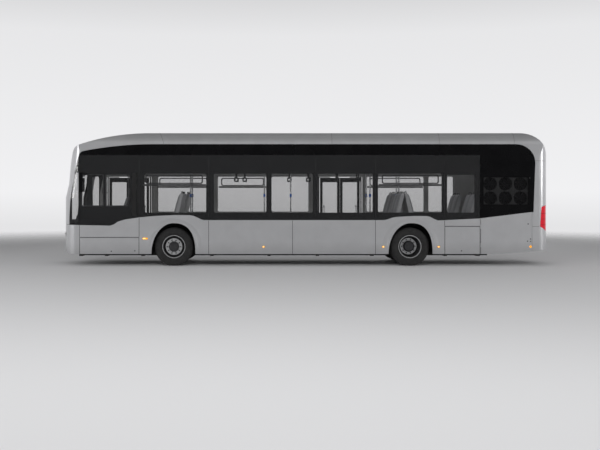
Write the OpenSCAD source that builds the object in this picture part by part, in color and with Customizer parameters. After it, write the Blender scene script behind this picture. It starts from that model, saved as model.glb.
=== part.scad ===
// Low-floor electric city bus, twelve metres long, two double doors on the right side.
// X runs rearwards, Y to the right-hand (door) side, Z up; the origin is on the ground under the middle.

/* [Body] */
// Front panel to front axle
front_overhang = 2805; // [2780:5:2830]
// Front axle to rear axle
wheelbase = 5900; // [5850:5:5950]
// Rear axle to tail
rear_overhang = 3430; // [3400:5:3460]
// Width over the flat side walls
body_w = 2530; // [2500:2:2560]
// Underside of the skirt panels
skirt_z = 300; // [280:5:320]
// Thickness of the low floor
floor_t = 40; // [36:1:46]
// Height of the waistline between the axles
waist_z = 1147; // [1130:1:1165]
// Waistline to the top edge of the side glazing
glass_h = 1618; // [1600:2:1640]
// Height of the dark strip between glazing and roof fairing
cantrail_h = 270; // [255:5:285]
// Height of the roof fairing
fairing_h = 295; // [280:5:310]
// Waistline to the lower edge of the clear glass
sill_h = 183; // [170:1:195]
// Upper edge of the clear glass to the top of the glazing
head_h = 462; // [450:1:475]
// Thickness of panels and double glazing
skin_t = 20; // [16:1:24]
// Thickness of the wall frame behind the skin
frame_t = 50; // [44:1:60]
// Gap between neighbouring panels
gap = 5; // [4:0.5:7]
// Width of a window pillar
pillar_w = 130; // [110:5:150]

/* [Running gear] */
// Outer radius of a tyre
tyre_r = 478; // [470:1:484]
// Width of a tyre
tyre_w = 275; // [265:1:285]
// Radius of the rim's bead seat
rim_r = 286; // [284:1:288]
// Clearance between the two tyres of a twin wheel
twin_clear = 36; // [30:1:42]
// Front tyre's outer face to the side wall
front_inset = 75; // [70:1:80]
// Rear tyre's outer face to the side wall
rear_inset = 70; // [65:1:75]
// Clear height of a wheel arch over its tyre
arch_over = 112; // [100:1:124]
// Clear length of a wheel arch before and behind its tyre
arch_side = 70; // [62:1:78]
// Kingpin to the middle of the front wheel
kingpin_in = 172.5; // [165:0.5:180]
// Radius of the kingpin
kingpin_r = 24; // [22:0.5:26]
// Radius of the wheel spindles
spindle_r = 40; // [36:0.5:44]
// Radial play of spindles, pins and kingpins
play = 0.05; // [0.03:0.01:0.08]
// Number of wheel bolts
bolts = 10; // [8:1:12]

/* [Doors and seats] */
// Front panel to the front doorway
front_door_s = 647; // [640:1:660]
// Fourth glass joint to the middle doorway
mid_door_s = 190; // [180:1:200]
// Width of the wall between a doorway and the glass joint behind it
jamb_w = 55; // [50:1:60]
// Thickness of a door leaf
leaf_t = 40; // [34:1:44]
// Radius of the turning door post
post_r = 20; // [18:0.5:20]
// Half width of the aisle between the seats
aisle_half = 275; // [265:1:285]

/* [Hidden] */
$fn = 64;

silver = [0.62, 0.63, 0.65];
black = [0.06, 0.06, 0.07];
dark = [0.14, 0.14, 0.15];
tint = [0.10, 0.11, 0.12, 0.55];
rubber = [0.05, 0.05, 0.05];
steel = [0.55, 0.56, 0.58];
grey = [0.40, 0.41, 0.43];
amber = [0.95, 0.55, 0.08];
red = [0.70, 0.03, 0.06];
cloth = [0.16, 0.20, 0.30];

left = -1;
right = 1;
far = 20000;
tall = 6000;

// Main stations along the bus
body_len = front_overhang + wheelbase + rear_overhang;
front_x = -body_len / 2;
rear_x = body_len / 2;
axle_f = front_x + front_overhang;
axle_r = axle_f + wheelbase;
wall_y = body_w / 2;
frame_y = wall_y - skin_t;
inner_y = frame_y - frame_t;
corner_x = front_x + round(0.1668 * front_overhang);
bay_1 = axle_f - round(0.3037 * front_overhang);
bay_2 = axle_f + round(0.1488 * wheelbase);
bay_5 = axle_r - round(0.148 * wheelbase);
bay_6 = axle_r + round(0.247 * rear_overhang);
bay_7 = axle_r + round(0.5044 * rear_overhang);
bay_3 = bay_2 + round(0.361 * (bay_5 - bay_2));
bay_4 = bay_2 + round(0.64 * (bay_5 - bay_2));
mid_split = bay_2 + round(0.5025 * (bay_5 - bay_2));
tail_x = rear_x - round(0.1195 * rear_overhang);
cabin_end = rear_x - round(0.1166 * rear_overhang);
departure_x = axle_r + round(0.6647 * rear_overhang);
deck_x = [front_x + 700, rear_x - 420];

// Main heights
floor_z = skirt_z + floor_t;
platform_z = floor_z + 280;
rear_floor_z = floor_z + 380;
departure_z = skirt_z + 100;
front_top_z = waist_z - 114;
sill_z = waist_z + sill_h;
glass_top_z = waist_z + glass_h;
clear_z = glass_top_z - head_h;
door_top_z = clear_z - 3;
ceiling_z = glass_top_z - 205;
rear_joint_z = glass_top_z - 145;
windscreen_top_z = glass_top_z + 75;
fairing_z = glass_top_z + cantrail_h;
roof_z = fairing_z + fairing_h;
hatch_low_z = departure_z + 160;
hatch_top_z = rear_joint_z - 720;
driver_flap_z = waist_z - 425;
rear_flap_z = waist_z - 151;

// Main widths
windscreen_half = wall_y - 315;
hatch_half = wall_y - 365;
seat_w = (inner_y - aisle_half - 40) / 2;
aisle_y = aisle_half - 50;

// Front, roof and rear outlines seen from the side
front_r = 7840;
front_arc_z = 800;
brow_r = 260;
brow_x = front_x + 2300;
brow_roof_r = 5790;
tail_r = 690;
loop_front_s = 203;
loop_front_r = 6158;
loop_brow_r = 150;
loop_roof_r = 9000;
loop_tail_s = 326;
loop_tail_r = 470;
bumper_r = 280;

// Plan outline
nose_r = 7900;
nose_corner_r = 330;
tail_corner_r = 230;

// Fairing cross-section
fairing_y = wall_y - 25;
fairing_r = fairing_h - 40;
cantrail_y = wall_y - 30;

// Wheels, their housings and arches
hub_z = tyre_r;
twin_gap = tyre_w + twin_clear;
front_track = body_w - 2 * front_inset - tyre_w;
rear_track = body_w - 2 * rear_inset - tyre_w - twin_gap;
kingpin_y = front_track / 2 - kingpin_in;
arch_half = tyre_r + arch_side;
arch_top_z = 2 * tyre_r + arch_over;
house_half = arch_half + 72;
house_t = 25;
house_top_z = arch_top_z + 52;
house_in = kingpin_y - 410;
seat_base_z = house_top_z - 380;

// Doors: a leaf hangs on the end of an arm, and the arm turns with a post at the jamb
door_span = [[front_x + front_door_s, bay_1 - jamb_w], [bay_4 + mid_door_s, bay_5 - jamb_w]];
post_inset = 35;
leaf_mid_y = wall_y - 3 - leaf_t / 2;
leaf_from_post = 35;
arm_t = 14;
arm_gap = 6;
pin_r = 8;
leaf_z = [floor_z + arm_t + 2 * arm_gap, door_top_z - arm_t - 2 * arm_gap];

low = -far;
lid_t = 14;
lid_r = lid_t / 2;
hinge_gap = 0.3;
joint_gap = 0.5;

function arc(c, r, a0, a1, n) =
    [for (i = [0:n]) let (a = a0 + (a1 - a0) * i / n) [c.x + r * cos(a), c.y + r * sin(a)]];

// Upper left meeting point of two circles about a and b
function meet(a, ra, b, rb) =
    let (d = norm(b - a), u = (b - a) / d, m = (ra * ra - rb * rb + d * d) / (2 * d))
    a + m * u + sqrt(ra * ra - m * m) * [u.y, -u.x];

// Side outline from the foot of the front, over the brow and roof, to the tail corner, inset by t
function side_curve(foot, rw, brow, rq, rk, tail, rt, t) =
    let (w = foot + [rw, 0], q = brow - [0, rq], k = meet(w, rw - rk, q, rq - rk),
         aw = atan2(k.y - w.y, k.x - w.x), aq = atan2(k.y - q.y, k.x - q.x))
    let (up = aw < 0 ? aw + 360 : aw)
    concat(arc(w, rw - t, 180, up, 9), arc(k, rk - t, up, aq, 7), arc(q, rq - t, aq, 90, 8),
           arc(tail - [rt, rt], rt - t, 90, 0, 10));

function body_outline(t) = concat(
    t > 0 ? [[front_x + bumper_r, -skirt_z]] : [],
    arc([front_x + bumper_r, skirt_z + bumper_r], bumper_r - t, 270, 180, 8),
    side_curve([front_x, front_arc_z], front_r, [brow_x, roof_z], brow_roof_r, brow_r,
               [rear_x, roof_z], tail_r, t),
    t > 0 ? [[rear_x - t, -skirt_z]]
          : [[rear_x, departure_z + 90], [rear_x - 45, departure_z], [departure_x, skirt_z]]);

// Inside edge of the painted loop round the dark side band
loop_outline = concat(
    [[front_x + loop_front_s, front_top_z - 400]],
    side_curve([front_x + loop_front_s, front_top_z], loop_front_r, [brow_x, fairing_z], loop_roof_r,
               loop_brow_r, [rear_x - loop_tail_s, fairing_z], loop_tail_r, 0),
    [[rear_x - loop_tail_s - 70, front_top_z - 400]]);

function mirrored(p) = concat(p, [for (i = [len(p) - 1:-1:0]) [p[i].x, -p[i].y]]);

function plan_outline(t) =
    let (lean = asin((wall_y - nose_corner_r) / (nose_r - nose_corner_r)), c = [front_x + nose_r, 0],
         k = c + (nose_r - nose_corner_r) * [-cos(lean), sin(lean)])
    mirrored(concat(
        arc(c, nose_r - t, 179.99, 180 - lean, 7), arc(k, nose_corner_r - t, 180 - lean, 90, 9),
        arc([rear_x - tail_corner_r, wall_y - tail_corner_r], tail_corner_r - t, 90, 0, 8)));

// Nose of the plan outline with its sides run outward, for the upper front that leans back
function nose_outline(t) =
    let (lean = asin((wall_y - nose_corner_r) / (nose_r - nose_corner_r)), c = [front_x + nose_r, 0],
         k = c + (nose_r - nose_corner_r) * [-cos(lean), sin(lean)],
         a = arc(k, nose_corner_r - t, 180 - lean, 95, 8))
    mirrored(concat(arc(c, nose_r - t, 179.99, 180 - lean, 7), a, [a[8] + far * [sin(95), -cos(95)]]));

// The front leans back in steps, each touching the front arc at a height over its foot
lean_steps = [700, 1250, 1800];
function lean_angle(h) = asin(h / front_r);
function lean_at(z) = max([for (h = lean_steps)
    front_r * (1 - cos(lean_angle(h))) + (z - front_arc_z - h) * tan(lean_angle(h))]);

// Side view of the nose: its rear edge stays behind the rounded corners
nose_depth = nose_r - (nose_r - nose_corner_r) * cos(asin((wall_y - nose_corner_r) / (nose_r - nose_corner_r)));
nose_top_x = front_x + nose_depth + lean_at(glass_top_z) + 5;
nose_edge = [[front_x - far, low], [corner_x, low], [corner_x, front_arc_z + 1050], [nose_top_x, glass_top_z],
             [nose_top_x, far], [front_x - far, far]];

function section_outline(t) =
    let (h = [[wall_y - t, -skirt_z], [wall_y - t, glass_top_z], [fairing_y - t, fairing_z]],
         a = arc([fairing_y - fairing_r, roof_z - fairing_r], fairing_r - t, 0, 90, 9), p = concat(h, a))
    concat(p, [for (i = [len(p) - 1:-1:0]) [-p[i].x, p[i].y]]);

// Waistline of the side wall: [share of the length before or behind an axle, rise over the waistline]
front_waist = [[-0.562, -139], [-0.5276, -107], [-0.4913, -37], [-0.4278, 16], [-0.3037, 66], [-0.164, 103]];
mid_front_waist = [[0.0068, 125], [0.0678, 123], [0.083, 108], [0.0983, 73], [0.1169, 18], [0.1288, 0]];
mid_rear_waist = [[-0.1102, 0], [-0.0966, 18], [-0.078, 58], [-0.061, 78]];
rear_waist = [[0.0321, 103], [0.1166, 100], [0.14, 83], [0.172, 28], [0.1983, -10], [0.5044, 40],
              [0.8796, 198]];
service_waist_z = waist_z + 40;
waist = concat([[front_x, front_top_z]],
    [for (w = front_waist) [axle_f + round(w[0] * front_overhang), waist_z + w[1]]],
    [for (w = mid_front_waist) [axle_f + round(w[0] * wheelbase), waist_z + w[1]]],
    [for (w = mid_rear_waist) [axle_r + round(w[0] * wheelbase), waist_z + w[1]]],
    [for (w = rear_waist) [axle_r + round(w[0] * rear_overhang), waist_z + w[1]]], [[rear_x, waist_z + 248]]);

// Half of a wheel arch: front half is an ellipse, rear half is squarer
function arch_points(half, top, squareness) =
    [for (i = [0:14]) let (a = 90 * i / 14)
        [half * pow(cos(a), 2 / squareness),
         skirt_z + (top - skirt_z) * pow(sin(a), 2 / squareness)]];

// A span of widths on one side of the bus
function on_side(s, y) = s > 0 ? y : [-y[1], -y[0]];

module side_prism() { rotate([90, 0, 0]) linear_extrude(far, center = true) children(); }
module section_prism() { rotate([90, 0, 90]) linear_extrude(far, center = true) children(); }

// A plate on one side of the bus between two distances from the middle
module side_plate(s, y_in, y_out) {
    translate([0, s > 0 ? y_out : -y_in, 0]) rotate([90, 0, 0]) linear_extrude(y_out - y_in) children();
}

module box(x, y, z) { translate([x[0], y[0], z[0]]) cube([x[1] - x[0], y[1] - y[0], z[1] - z[0]]); }

module envelope(t) {
    intersection() {
        side_prism() polygon(body_outline(t));
        translate([0, 0, -far / 2]) linear_extrude(far) polygon(plan_outline(t));
        section_prism() polygon(section_outline(t));
        for (h = lean_steps) translate([front_x + front_r * (1 - cos(lean_angle(h))), 0, front_arc_z + h])
            rotate([0, lean_angle(h), 0]) translate([-front_x, 0, -far / 2]) linear_extrude(far)
                polygon(nose_outline(t));
    }
}

module shell(t0, t1) {
    difference() {
        envelope(t0);
        envelope(t1);
    }
}

module arch(x, grow = 0) {
    f = arch_points(arch_half + grow, arch_top_z + grow, 2);
    r = arch_points(arch_half + grow, arch_top_z + grow, 2.5);
    translate([x, 0]) polygon(concat(r, [for (i = [len(f) - 2:-1:0]) [-f[i].x, f[i].y]],
        [[-arch_half - grow, -skirt_z], [arch_half + grow, -skirt_z]]));
}

module below_waist(drop) {
    polygon(concat([[front_x, skirt_z]], [for (p = waist) p - [0, drop]],
        [[rear_x, departure_z], [rear_x - 45, departure_z], [departure_x, skirt_z]]));
}

module above_waist(rise) {
    polygon(concat([for (p = waist) p + [0, rise]], [[rear_x, far], [front_x, far]]));
}

module slab(x0, x1, z0 = -far, z1 = far) {
    translate([x0 + gap / 2, z0]) square([x1 - x0 - gap, z1 - z0]);
}

// Round-cornered rectangle
module rounded(x, z, r) {
    polygon(concat(arc([x[1] - r, z[1] - r], r, 0, 90, 6), arc([x[0] + r, z[1] - r], r, 90, 180, 6),
        arc([x[0] + r, z[0] + r], r, 180, 270, 6), arc([x[1] - r, z[0] + r], r, 270, 360, 6)));
}

// Window openings of a side: [from, to] along the bus
left_windows = [[corner_x + 60, bay_1 - 250], [bay_1 + pillar_w, bay_2 - pillar_w / 2],
                [bay_2 + pillar_w, bay_3 - pillar_w / 2], [bay_3 + pillar_w / 2, bay_4 - pillar_w / 2],
                [bay_4 + pillar_w / 2, bay_5 - pillar_w / 2], [bay_5 + pillar_w / 2, bay_6 - pillar_w / 2],
                [bay_6 + pillar_w / 2, bay_7 - pillar_w]];
right_windows = [[bay_1 + pillar_w, bay_2 - pillar_w / 2], [bay_2 + pillar_w / 2, bay_3 - pillar_w / 2],
                 [bay_3 + pillar_w / 2, bay_4 - pillar_w / 2], [bay_5 + pillar_w / 2, bay_6 - pillar_w / 2],
                 [bay_6 + pillar_w / 2, bay_7 - pillar_w]];

module door_gap(i, grow = 0) {
    w = door_span[i];
    translate([w[0] - grow, -far]) square([w[1] - w[0] + 2 * grow, far + door_top_z + grow]);
}

// Structure under the floor, with a towing lug at the front
tow_r = 20.5;
tow_x = front_x + 350;
module underframe() {
    color(dark) difference() {
        union() {
            for (s = [left, right], x = [[front_x + 420, axle_f - 190], [axle_f + 300, axle_r - 260],
                                         [axle_r + 260, departure_x - 150]])
                box(x, on_side(s, [house_in - 170, house_in - 70]), [skirt_z - 85, skirt_z]);
            for (x = [front_x + 460, front_x + 1100, bay_1 + 60, bay_2 + 60, bay_3, bay_4 + 60, bay_5 - 60,
                      bay_6 + 60, bay_7])
                box([x - 40, x + 40], [115 - inner_y, inner_y - 115], [skirt_z - 60, skirt_z]);
            box([tow_x - 60, front_x + 440], [-60, 60], [skirt_z - 60, skirt_z - 20]);
        }
        translate([tow_x, 0, 0]) cylinder(r = tow_r, h = tall, center = true);
    }
}

// Low floor with the door sills; the driver's platform and the raised rear floor stand on it
platform_x = [front_x + 600, bay_1 - 175];
platform_y = 935 - inner_y;
step_x = axle_r + house_half;
module floor() {
    color(grey) difference() {
        union() {
            intersection() {
                envelope(skin_t + frame_t);
                box([front_x, corner_x], [-tall, tall], [skirt_z, floor_z]);
            }
            box([corner_x, step_x + house_t], [-inner_y, inner_y], [skirt_z, floor_z]);
            for (w = door_span) box(w, [inner_y, wall_y - 3], [skirt_z, floor_z]);
        }
        for (s = [left, right], x = [axle_f, axle_r])
            box([x - house_half, x + house_half], on_side(s, [house_in, tall]), [0, tall]);
    }
    color(grey) {
        box(platform_x, [-inner_y, platform_y], [floor_z + joint_gap, platform_z]);
        box([step_x, step_x + house_t], [-inner_y, inner_y], [floor_z + joint_gap, rear_floor_z]);
        box([step_x, cabin_end], [-inner_y, inner_y], [rear_floor_z - house_t, rear_floor_z]);
    }
}

module wheelhouse(s, x) {
    difference() {
        box([x - house_half, x + house_half], on_side(s, [house_in, inner_y]), [skirt_z, house_top_z]);
        box([x - house_half + house_t, x + house_half - house_t], on_side(s, [house_in + house_t, tall]),
            [0, house_top_z - house_t]);
    }
}

module wheelhouses() {
    color(dark) for (s = [left, right], x = [axle_f, axle_r]) wheelhouse(s, x);
}

module front_frame() {
    color(dark) difference() {
        intersection() {
            shell(skin_t, skin_t + frame_t);
            box([front_x - 10, brow_x], [-tall, tall], [skirt_z + 60, fairing_z - 90]);
            side_prism() polygon(nose_edge);
        }
        box([front_x - 10, corner_x - 150], [-windscreen_half + 60, windscreen_half - 60],
            [front_top_z + 110, windscreen_top_z - 80]);
        for (s = [left, right]) side_plate(s, wall_y - 300, wall_y + 10)
            rounded([front_x + loop_front_s + 60, corner_x - 30], [sill_z - 250, clear_z], 40);
    }
}

// Frame of a side wall; over a doorway it has a lintel of its own
module wall_frame(s, windows) {
    side_plate(s, inner_y, frame_y) difference() {
        translate([corner_x, skirt_z])
            square([rear_x - tail_corner_r - 30 - corner_x, glass_top_z - skirt_z]);
        polygon(nose_edge);
        for (x = [axle_f, axle_r]) translate([x - house_half + house_t, -far])
            square([2 * (house_half - house_t), far + house_top_z - house_t]);
        for (w = windows) rounded(w, [sill_z, clear_z], 40);
        translate([departure_x, skirt_z]) polygon([[0, 0], [far, 0], [far, departure_z - skirt_z + 60],
            [rear_x - departure_x, departure_z - skirt_z + 60]]);
        if (s > 0) for (i = [0, 1]) {
            door_gap(i);
            for (x = door_span[i]) translate([x - joint_gap / 2, low]) square([joint_gap, 2 * far]);
        }
        if (s < 0) rounded([bay_7 + 90, tail_x - 90], [departure_z + 100, glass_top_z - 150], 40);
    }
}

// Hinge lugs for the left wall's flaps and door: [place along the bus, height]
lid_axis_y = wall_y - lid_r;
service_axis_x = bay_7 + gap / 2 + lid_r;
flap_hinges = [[corner_x + 200, driver_flap_z], [(corner_x + bay_1) / 2, driver_flap_z],
               [bay_1 - 200, driver_flap_z], [bay_6 + 150, rear_flap_z], [bay_7 - 150, rear_flap_z]];
door_hinges = [skirt_z + 220, service_waist_z - 200, sill_z + 370, clear_z + 197];
module left_frame() {
    color(dark) {
        wall_frame(left, left_windows);
        side_plate(left, frame_y - 1, wall_y - lid_t - hinge_gap) {
            for (h = flap_hinges) translate([h[0] - 35, h[1] - gap / 2 - lid_r - 5])
                square([70, 10]);
            for (z = door_hinges) translate([service_axis_x - 6, z - 40]) square([10, 80]);
        }
    }
}
module right_frame() { color(dark) wall_frame(right, right_windows); }

module rear_frame() {
    color(dark) difference() {
        intersection() {
            shell(skin_t, skin_t + frame_t);
            box([rear_x - tail_corner_r - 30, rear_x], [-tall, tall], [departure_z + 70, glass_top_z]);
        }
        box([rear_x - 300, rear_x], [-hatch_half + 75, hatch_half - 75],
            [hatch_low_z + 70, glass_top_z - 200]);
    }
    color(dark) for (s = [left, right])
        translate([rear_x - skin_t - 1, s * (hatch_half - 45) - 25, hatch_top_z - lid_r - 5])
            cube([1 + skin_t - lid_t - hinge_gap, 50, 10]);
}

module front_panel() {
    color(silver) difference() {
        intersection() {
            shell(0, skin_t);
            side_prism() intersection() {
                below_waist(gap / 2);
                slab(front_x - 100, corner_x);
            }
        }
        for (s = [left, right]) headlamp_cut(s, 4);
    }
}

module headlamp_cut(s, grow) {
    translate([0, s * (wall_y - 405), front_top_z - 243]) section_prism()
        rounded([-230 - grow, 230 + grow], [-75 - grow, 75 + grow], 60);
}

module headlamps() {
    color([0.9, 0.92, 0.95]) intersection() {
        shell(2, skin_t);
        union() for (s = [left, right]) headlamp_cut(s, 0);
        box([front_x - 10, corner_x - 100], [-tall, tall], [0, tall]);
    }
}

// Raised lip round a wheel arch, turned about the wheel axis
module arch_lip(s, x) {
    intersection() {
        translate([x + 6, s * wall_y, hub_z]) rotate([90 * s, 0, 0]) rotate_extrude($fn = 96)
            polygon([[tyre_r + 92, 5], [tyre_r + 122, -10], [tyre_r + 162, -10], [tyre_r + 257, 5]]);
        side_plate(s, wall_y - 20, wall_y + 20) difference() {
            below_waist(30);
            arch(x);
            translate([x - far / 2, -far]) square([far, far + hub_z + 20]);
        }
    }
}

module skirts(s, spans) {
    for (p = spans) difference() {
        union() {
            side_plate(s, frame_y, wall_y) difference() {
                intersection() {
                    below_waist(gap / 2);
                    slab(p[0], p[1], p[2]);
                }
                for (x = [axle_f, axle_r]) arch(x);
            }
            for (x = [axle_f, axle_r]) if (p[0] < x && x < p[1]) arch_lip(s, x);
        }
        marker_cuts(s, 3);
    }
}

// Painted skirt panels: [from, to, lowest height]
module skirt_panels() {
    color(silver) {
        skirts(left, [[corner_x, bay_1, driver_flap_z + gap / 2], [bay_1, bay_2, low],
            [bay_2, mid_split, low], [mid_split, bay_5, low], [bay_5, bay_6, low],
            [bay_6, bay_7, rear_flap_z + gap / 2]]);
        skirts(right, [[corner_x, door_span[0][0], low], [door_span[0][1], bay_1 + 60, low],
            [bay_1 + 60, bay_2, low], [bay_2, door_span[1][0], low], [bay_5, bay_6, low], [bay_6, bay_7, low],
            [bay_7, tail_x, low]]);
    }
}

// Amber side markers: [place along the bus, height, length]
markers = [[axle_f - round(0.2506 * front_overhang), waist_z - 462, 130],
           [mid_split - round(0.122 * wheelbase), skirt_z + 180, 55], [bay_5 + 195, skirt_z + 180, 55],
           [axle_r + round(0.2035 * rear_overhang), skirt_z + 180, 55]];
module marker_cuts(s, grow) {
    side_plate(s, wall_y - 100, wall_y + 40) for (m = markers)
        rounded([m[0] - m[2] / 2 - grow, m[0] + m[2] / 2 + grow],
                [m[1] - 22 - grow, m[1] + 22 + grow], 18);
}
module marker_lamps() {
    color(amber) for (s = [left, right]) side_plate(s, frame_y, wall_y + 6) for (m = markers)
        rounded([m[0] - m[2] / 2, m[0] + m[2] / 2], [m[1] - 22, m[1] + 22], 18);
}

module glass_band() {
    intersection() {
        polygon(loop_outline);
        above_waist(gap / 2);
    }
}

module glass_side(s, spans) {
    intersection() {
        if (spans[0][0] < corner_x) shell(0, skin_t);
        side_plate(s, wall_y - 600, wall_y) intersection() {
            glass_band();
            union() for (p = spans) slab(p[0], p[1], low, glass_top_z - gap / 2);
        }
        union() {
            side_plate(s, frame_y, wall_y) translate([corner_x, 0]) square([far, far]);
            side_plate(s, wall_y - 600, wall_y) translate([front_x - far, 0])
                square([far + corner_x - front_x, far]);
        }
    }
}

module side_glass() {
    color(tint) {
        glass_side(left, [[front_x, corner_x], [corner_x, bay_1], [bay_1, bay_2], [bay_2, bay_3],
            [bay_3, bay_4], [bay_4, bay_5], [bay_5, bay_6], [bay_6, bay_7]]);
        difference() {
            glass_side(right, [[front_x, corner_x], [corner_x, door_span[0][0]], door_span[0],
                [door_span[0][1], bay_2], [bay_2, bay_3], [bay_3, door_span[1][0]], door_span[1],
                [door_span[1][1], bay_5], [bay_5, bay_6], [bay_6, bay_7], [bay_7, tail_x]]);
            for (i = [0, 1]) side_plate(right, 0, wall_y + 10) door_gap(i);
        }
    }
}

module windscreen() {
    color(tint) intersection() {
        shell(0, skin_t);
        box([front_x - 10, corner_x], [-windscreen_half + gap / 2, windscreen_half - gap / 2],
            [front_top_z + gap / 2, windscreen_top_z]);
    }
}

module cantrails() {
    color(black) for (s = [left, right]) side_plate(s, inner_y, cantrail_y) intersection() {
        polygon(loop_outline);
        translate([nose_top_x, glass_top_z]) square([tail_x - 20 - nose_top_x, fairing_z - glass_top_z]);
    }
}

// Rounded roof edges with the front pillars and rear corners, each down to the deck by an inner flange
flange_y = windscreen_half + gap / 2;
module roof_fairings() {
    color(silver) {
        difference() {
            intersection() {
                shell(0, skin_t);
                side_prism() difference() {
                    union() {
                        translate([front_x - 10, front_top_z + gap / 2])
                            square([brow_x - front_x, tall]);
                        translate([brow_x - 20, rear_joint_z + gap / 2])
                            square([far, tall]);
                    }
                    polygon(loop_outline);
                }
            }
            box([front_x - 100, rear_x + 100], [-flange_y, flange_y], [0, tall]);
        }
        for (s = [left, right]) box([brow_x, rear_x - tail_r],
            on_side(s, [flange_y, flange_y + 28]), [fairing_z, roof_z - skin_t / 2]);
    }
}

// Curved roof ends between the fairings
module roof_caps() {
    color(silver) intersection() {
        shell(0, skin_t);
        union() {
            box([front_x - 10, brow_x + 300], [gap - flange_y, flange_y - gap],
                [windscreen_top_z + gap, tall]);
            box([rear_x - tail_r - 200, rear_x + 10], [gap - flange_y, flange_y - gap],
                [rear_joint_z + gap / 2, tall]);
        }
    }
}

module rear_window() {
    color(tint) box([rear_x - skin_t, rear_x], [-hatch_half + gap / 2, hatch_half - gap / 2],
        [hatch_top_z + gap, rear_joint_z - gap / 2]);
}

module roof_deck() {
    color(dark) box(deck_x, [-inner_y, inner_y], [fairing_z - 40, fairing_z]);
}

// Roof units: [from and to as shares of the deck between the roof ends, distance to the fairing, drop
// below the roof edge]
unit_run = [brow_x + 420, rear_x - tail_r - 445];
roof_unit_table = [[0, 0.2416, 130, 40], [0.2537, 0.5072, 130, 40], [0.5193, 0.7367, 130, 40],
                   [0.7583, 1, 170, 15]];
module roof_units() {
    color(grey) for (u = roof_unit_table) {
        x = [for (i = [0, 1]) unit_run[0] + u[i] * (unit_run[1] - unit_run[0])];
        half = windscreen_half - u[2];
        top = roof_z - u[3];
        difference() {
            box(x, [-half, half], [fairing_z, top]);
            for (s = [left, right]) translate([(x[0] + x[1]) / 2, s * half, top]) rotate([45, 0, 0])
                cube([tall, 60, 60], center = true);
        }
    }
}

module ceiling() {
    color([0.75, 0.75, 0.76]) box([bay_1, cabin_end], [-inner_y, inner_y], [ceiling_z, ceiling_z + 40]);
}

// Silver rear corners and rear wall round the hatch
module rear_panels() {
    color(silver) difference() {
        intersection() {
            shell(0, skin_t);
            side_prism() difference() {
                translate([tail_x + gap / 2, 0]) square([far, rear_joint_z - gap / 2]);
                intersection() {
                    polygon(loop_outline);
                    above_waist(-gap);
                }
            }
        }
        box([rear_x - 300, rear_x + 10], [-hatch_half, hatch_half], [hatch_low_z, tall]);
        for (s = [left, right]) tail_lamp_cut(s, 4);
    }
}

module tail_lamp_cut(s, grow) {
    intersection() {
        side_prism() translate([rear_x, waist_z]) polygon([[-205 - grow, -157 - grow], [10, -297 - grow],
            [10, 383 + grow], [-170 - grow, 323 + grow]]);
        box([rear_x - 400, rear_x + 20], on_side(s, [hatch_half + 20 - grow, tall]), [0, tall]);
    }
}

module tail_lamps() {
    color(red) intersection() {
        shell(2, skin_t);
        union() for (s = [left, right]) tail_lamp_cut(s, 0);
    }
}

// Rear hatch, hung from its top edge
module tail_hatch() {
    color(silver) {
        box([rear_x - lid_t, rear_x], [-hatch_half + gap, hatch_half - gap],
            [hatch_low_z + gap, hatch_top_z - lid_r]);
        translate([rear_x - lid_r, 0, hatch_top_z - lid_r]) rotate([90, 0, 0])
            cylinder(r = lid_r, h = 2 * (hatch_half - gap), center = true);
    }
}

// A flap in the left wall, hung from its top edge
module side_flap(x0, x1, z1) {
    side_plate(left, wall_y - lid_t, wall_y) intersection() {
        below_waist(0);
        slab(x0, x1, low, z1 - lid_r - gap / 2);
    }
    translate([(x0 + x1) / 2, -lid_axis_y, z1 - lid_r - gap / 2]) rotate([0, 90, 0])
        cylinder(r = lid_r, h = x1 - x0 - gap, center = true);
}
module driver_flap() { color(silver) side_flap(corner_x, bay_1, driver_flap_z); }
module rear_flap() { color(silver) side_flap(bay_6, bay_7, rear_flap_z); }

// Left rear service door with the fan opening, hung at its front edge
fan_open_x = [bay_7 + 80, tail_x - 82];
fan_open_z = [sill_z + 198, clear_z - 89];
module service_span() {
    translate([service_axis_x, low])
        square([tail_x - gap / 2 - service_axis_x, far + glass_top_z - gap / 2]);
}
module service_barrel(z0, z1) {
    translate([service_axis_x, -lid_axis_y, z0]) cylinder(r = lid_r, h = z1 - z0);
}
module service_door() {
    color(silver) {
        side_plate(left, wall_y - lid_t, wall_y) intersection() {
            below_waist(0);
            service_span();
        }
        service_barrel(skirt_z, service_waist_z);
    }
}
module service_door_top() {
    color(black) {
        side_plate(left, wall_y - lid_t, wall_y) difference() {
            intersection() {
                polygon(loop_outline);
                above_waist(0);
                service_span();
            }
            rounded(fan_open_x, fan_open_z, 25);
        }
        service_barrel(service_waist_z + 2, glass_top_z - gap / 2);
    }
}

// Two rows of three axial fans behind the opening
fan_pitch = (fan_open_x[1] - fan_open_x[0]) / 3;
fan_r = min(fan_pitch / 2, (fan_open_z[1] - fan_open_z[0]) / 4 + 8) - 12;
module cooling_fans() {
    color(black) {
        side_plate(left, inner_y - 120, inner_y) difference() {
            translate([fan_open_x[0] - 60, fan_open_z[0] - 60])
                square([3 * fan_pitch + 120, fan_open_z[1] - fan_open_z[0] + 120]);
            fan_places() circle(fan_r);
        }
        side_plate(left, inner_y - 90, inner_y - 30) fan_places() {
            circle(fan_r * 0.31);
            for (k = [0:6]) rotate(k * 360 / 7) translate([0, -14]) square([fan_r + 5, 28]);
        }
    }
}
module fan_places() {
    mid_z = (fan_open_z[0] + fan_open_z[1]) / 2;
    for (i = [0:2], j = [-0.5, 0.5])
        translate([fan_open_x[0] + fan_pitch * (i + 0.5), mid_z + j * (2 * fan_r + 16)]) children();
}

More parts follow.
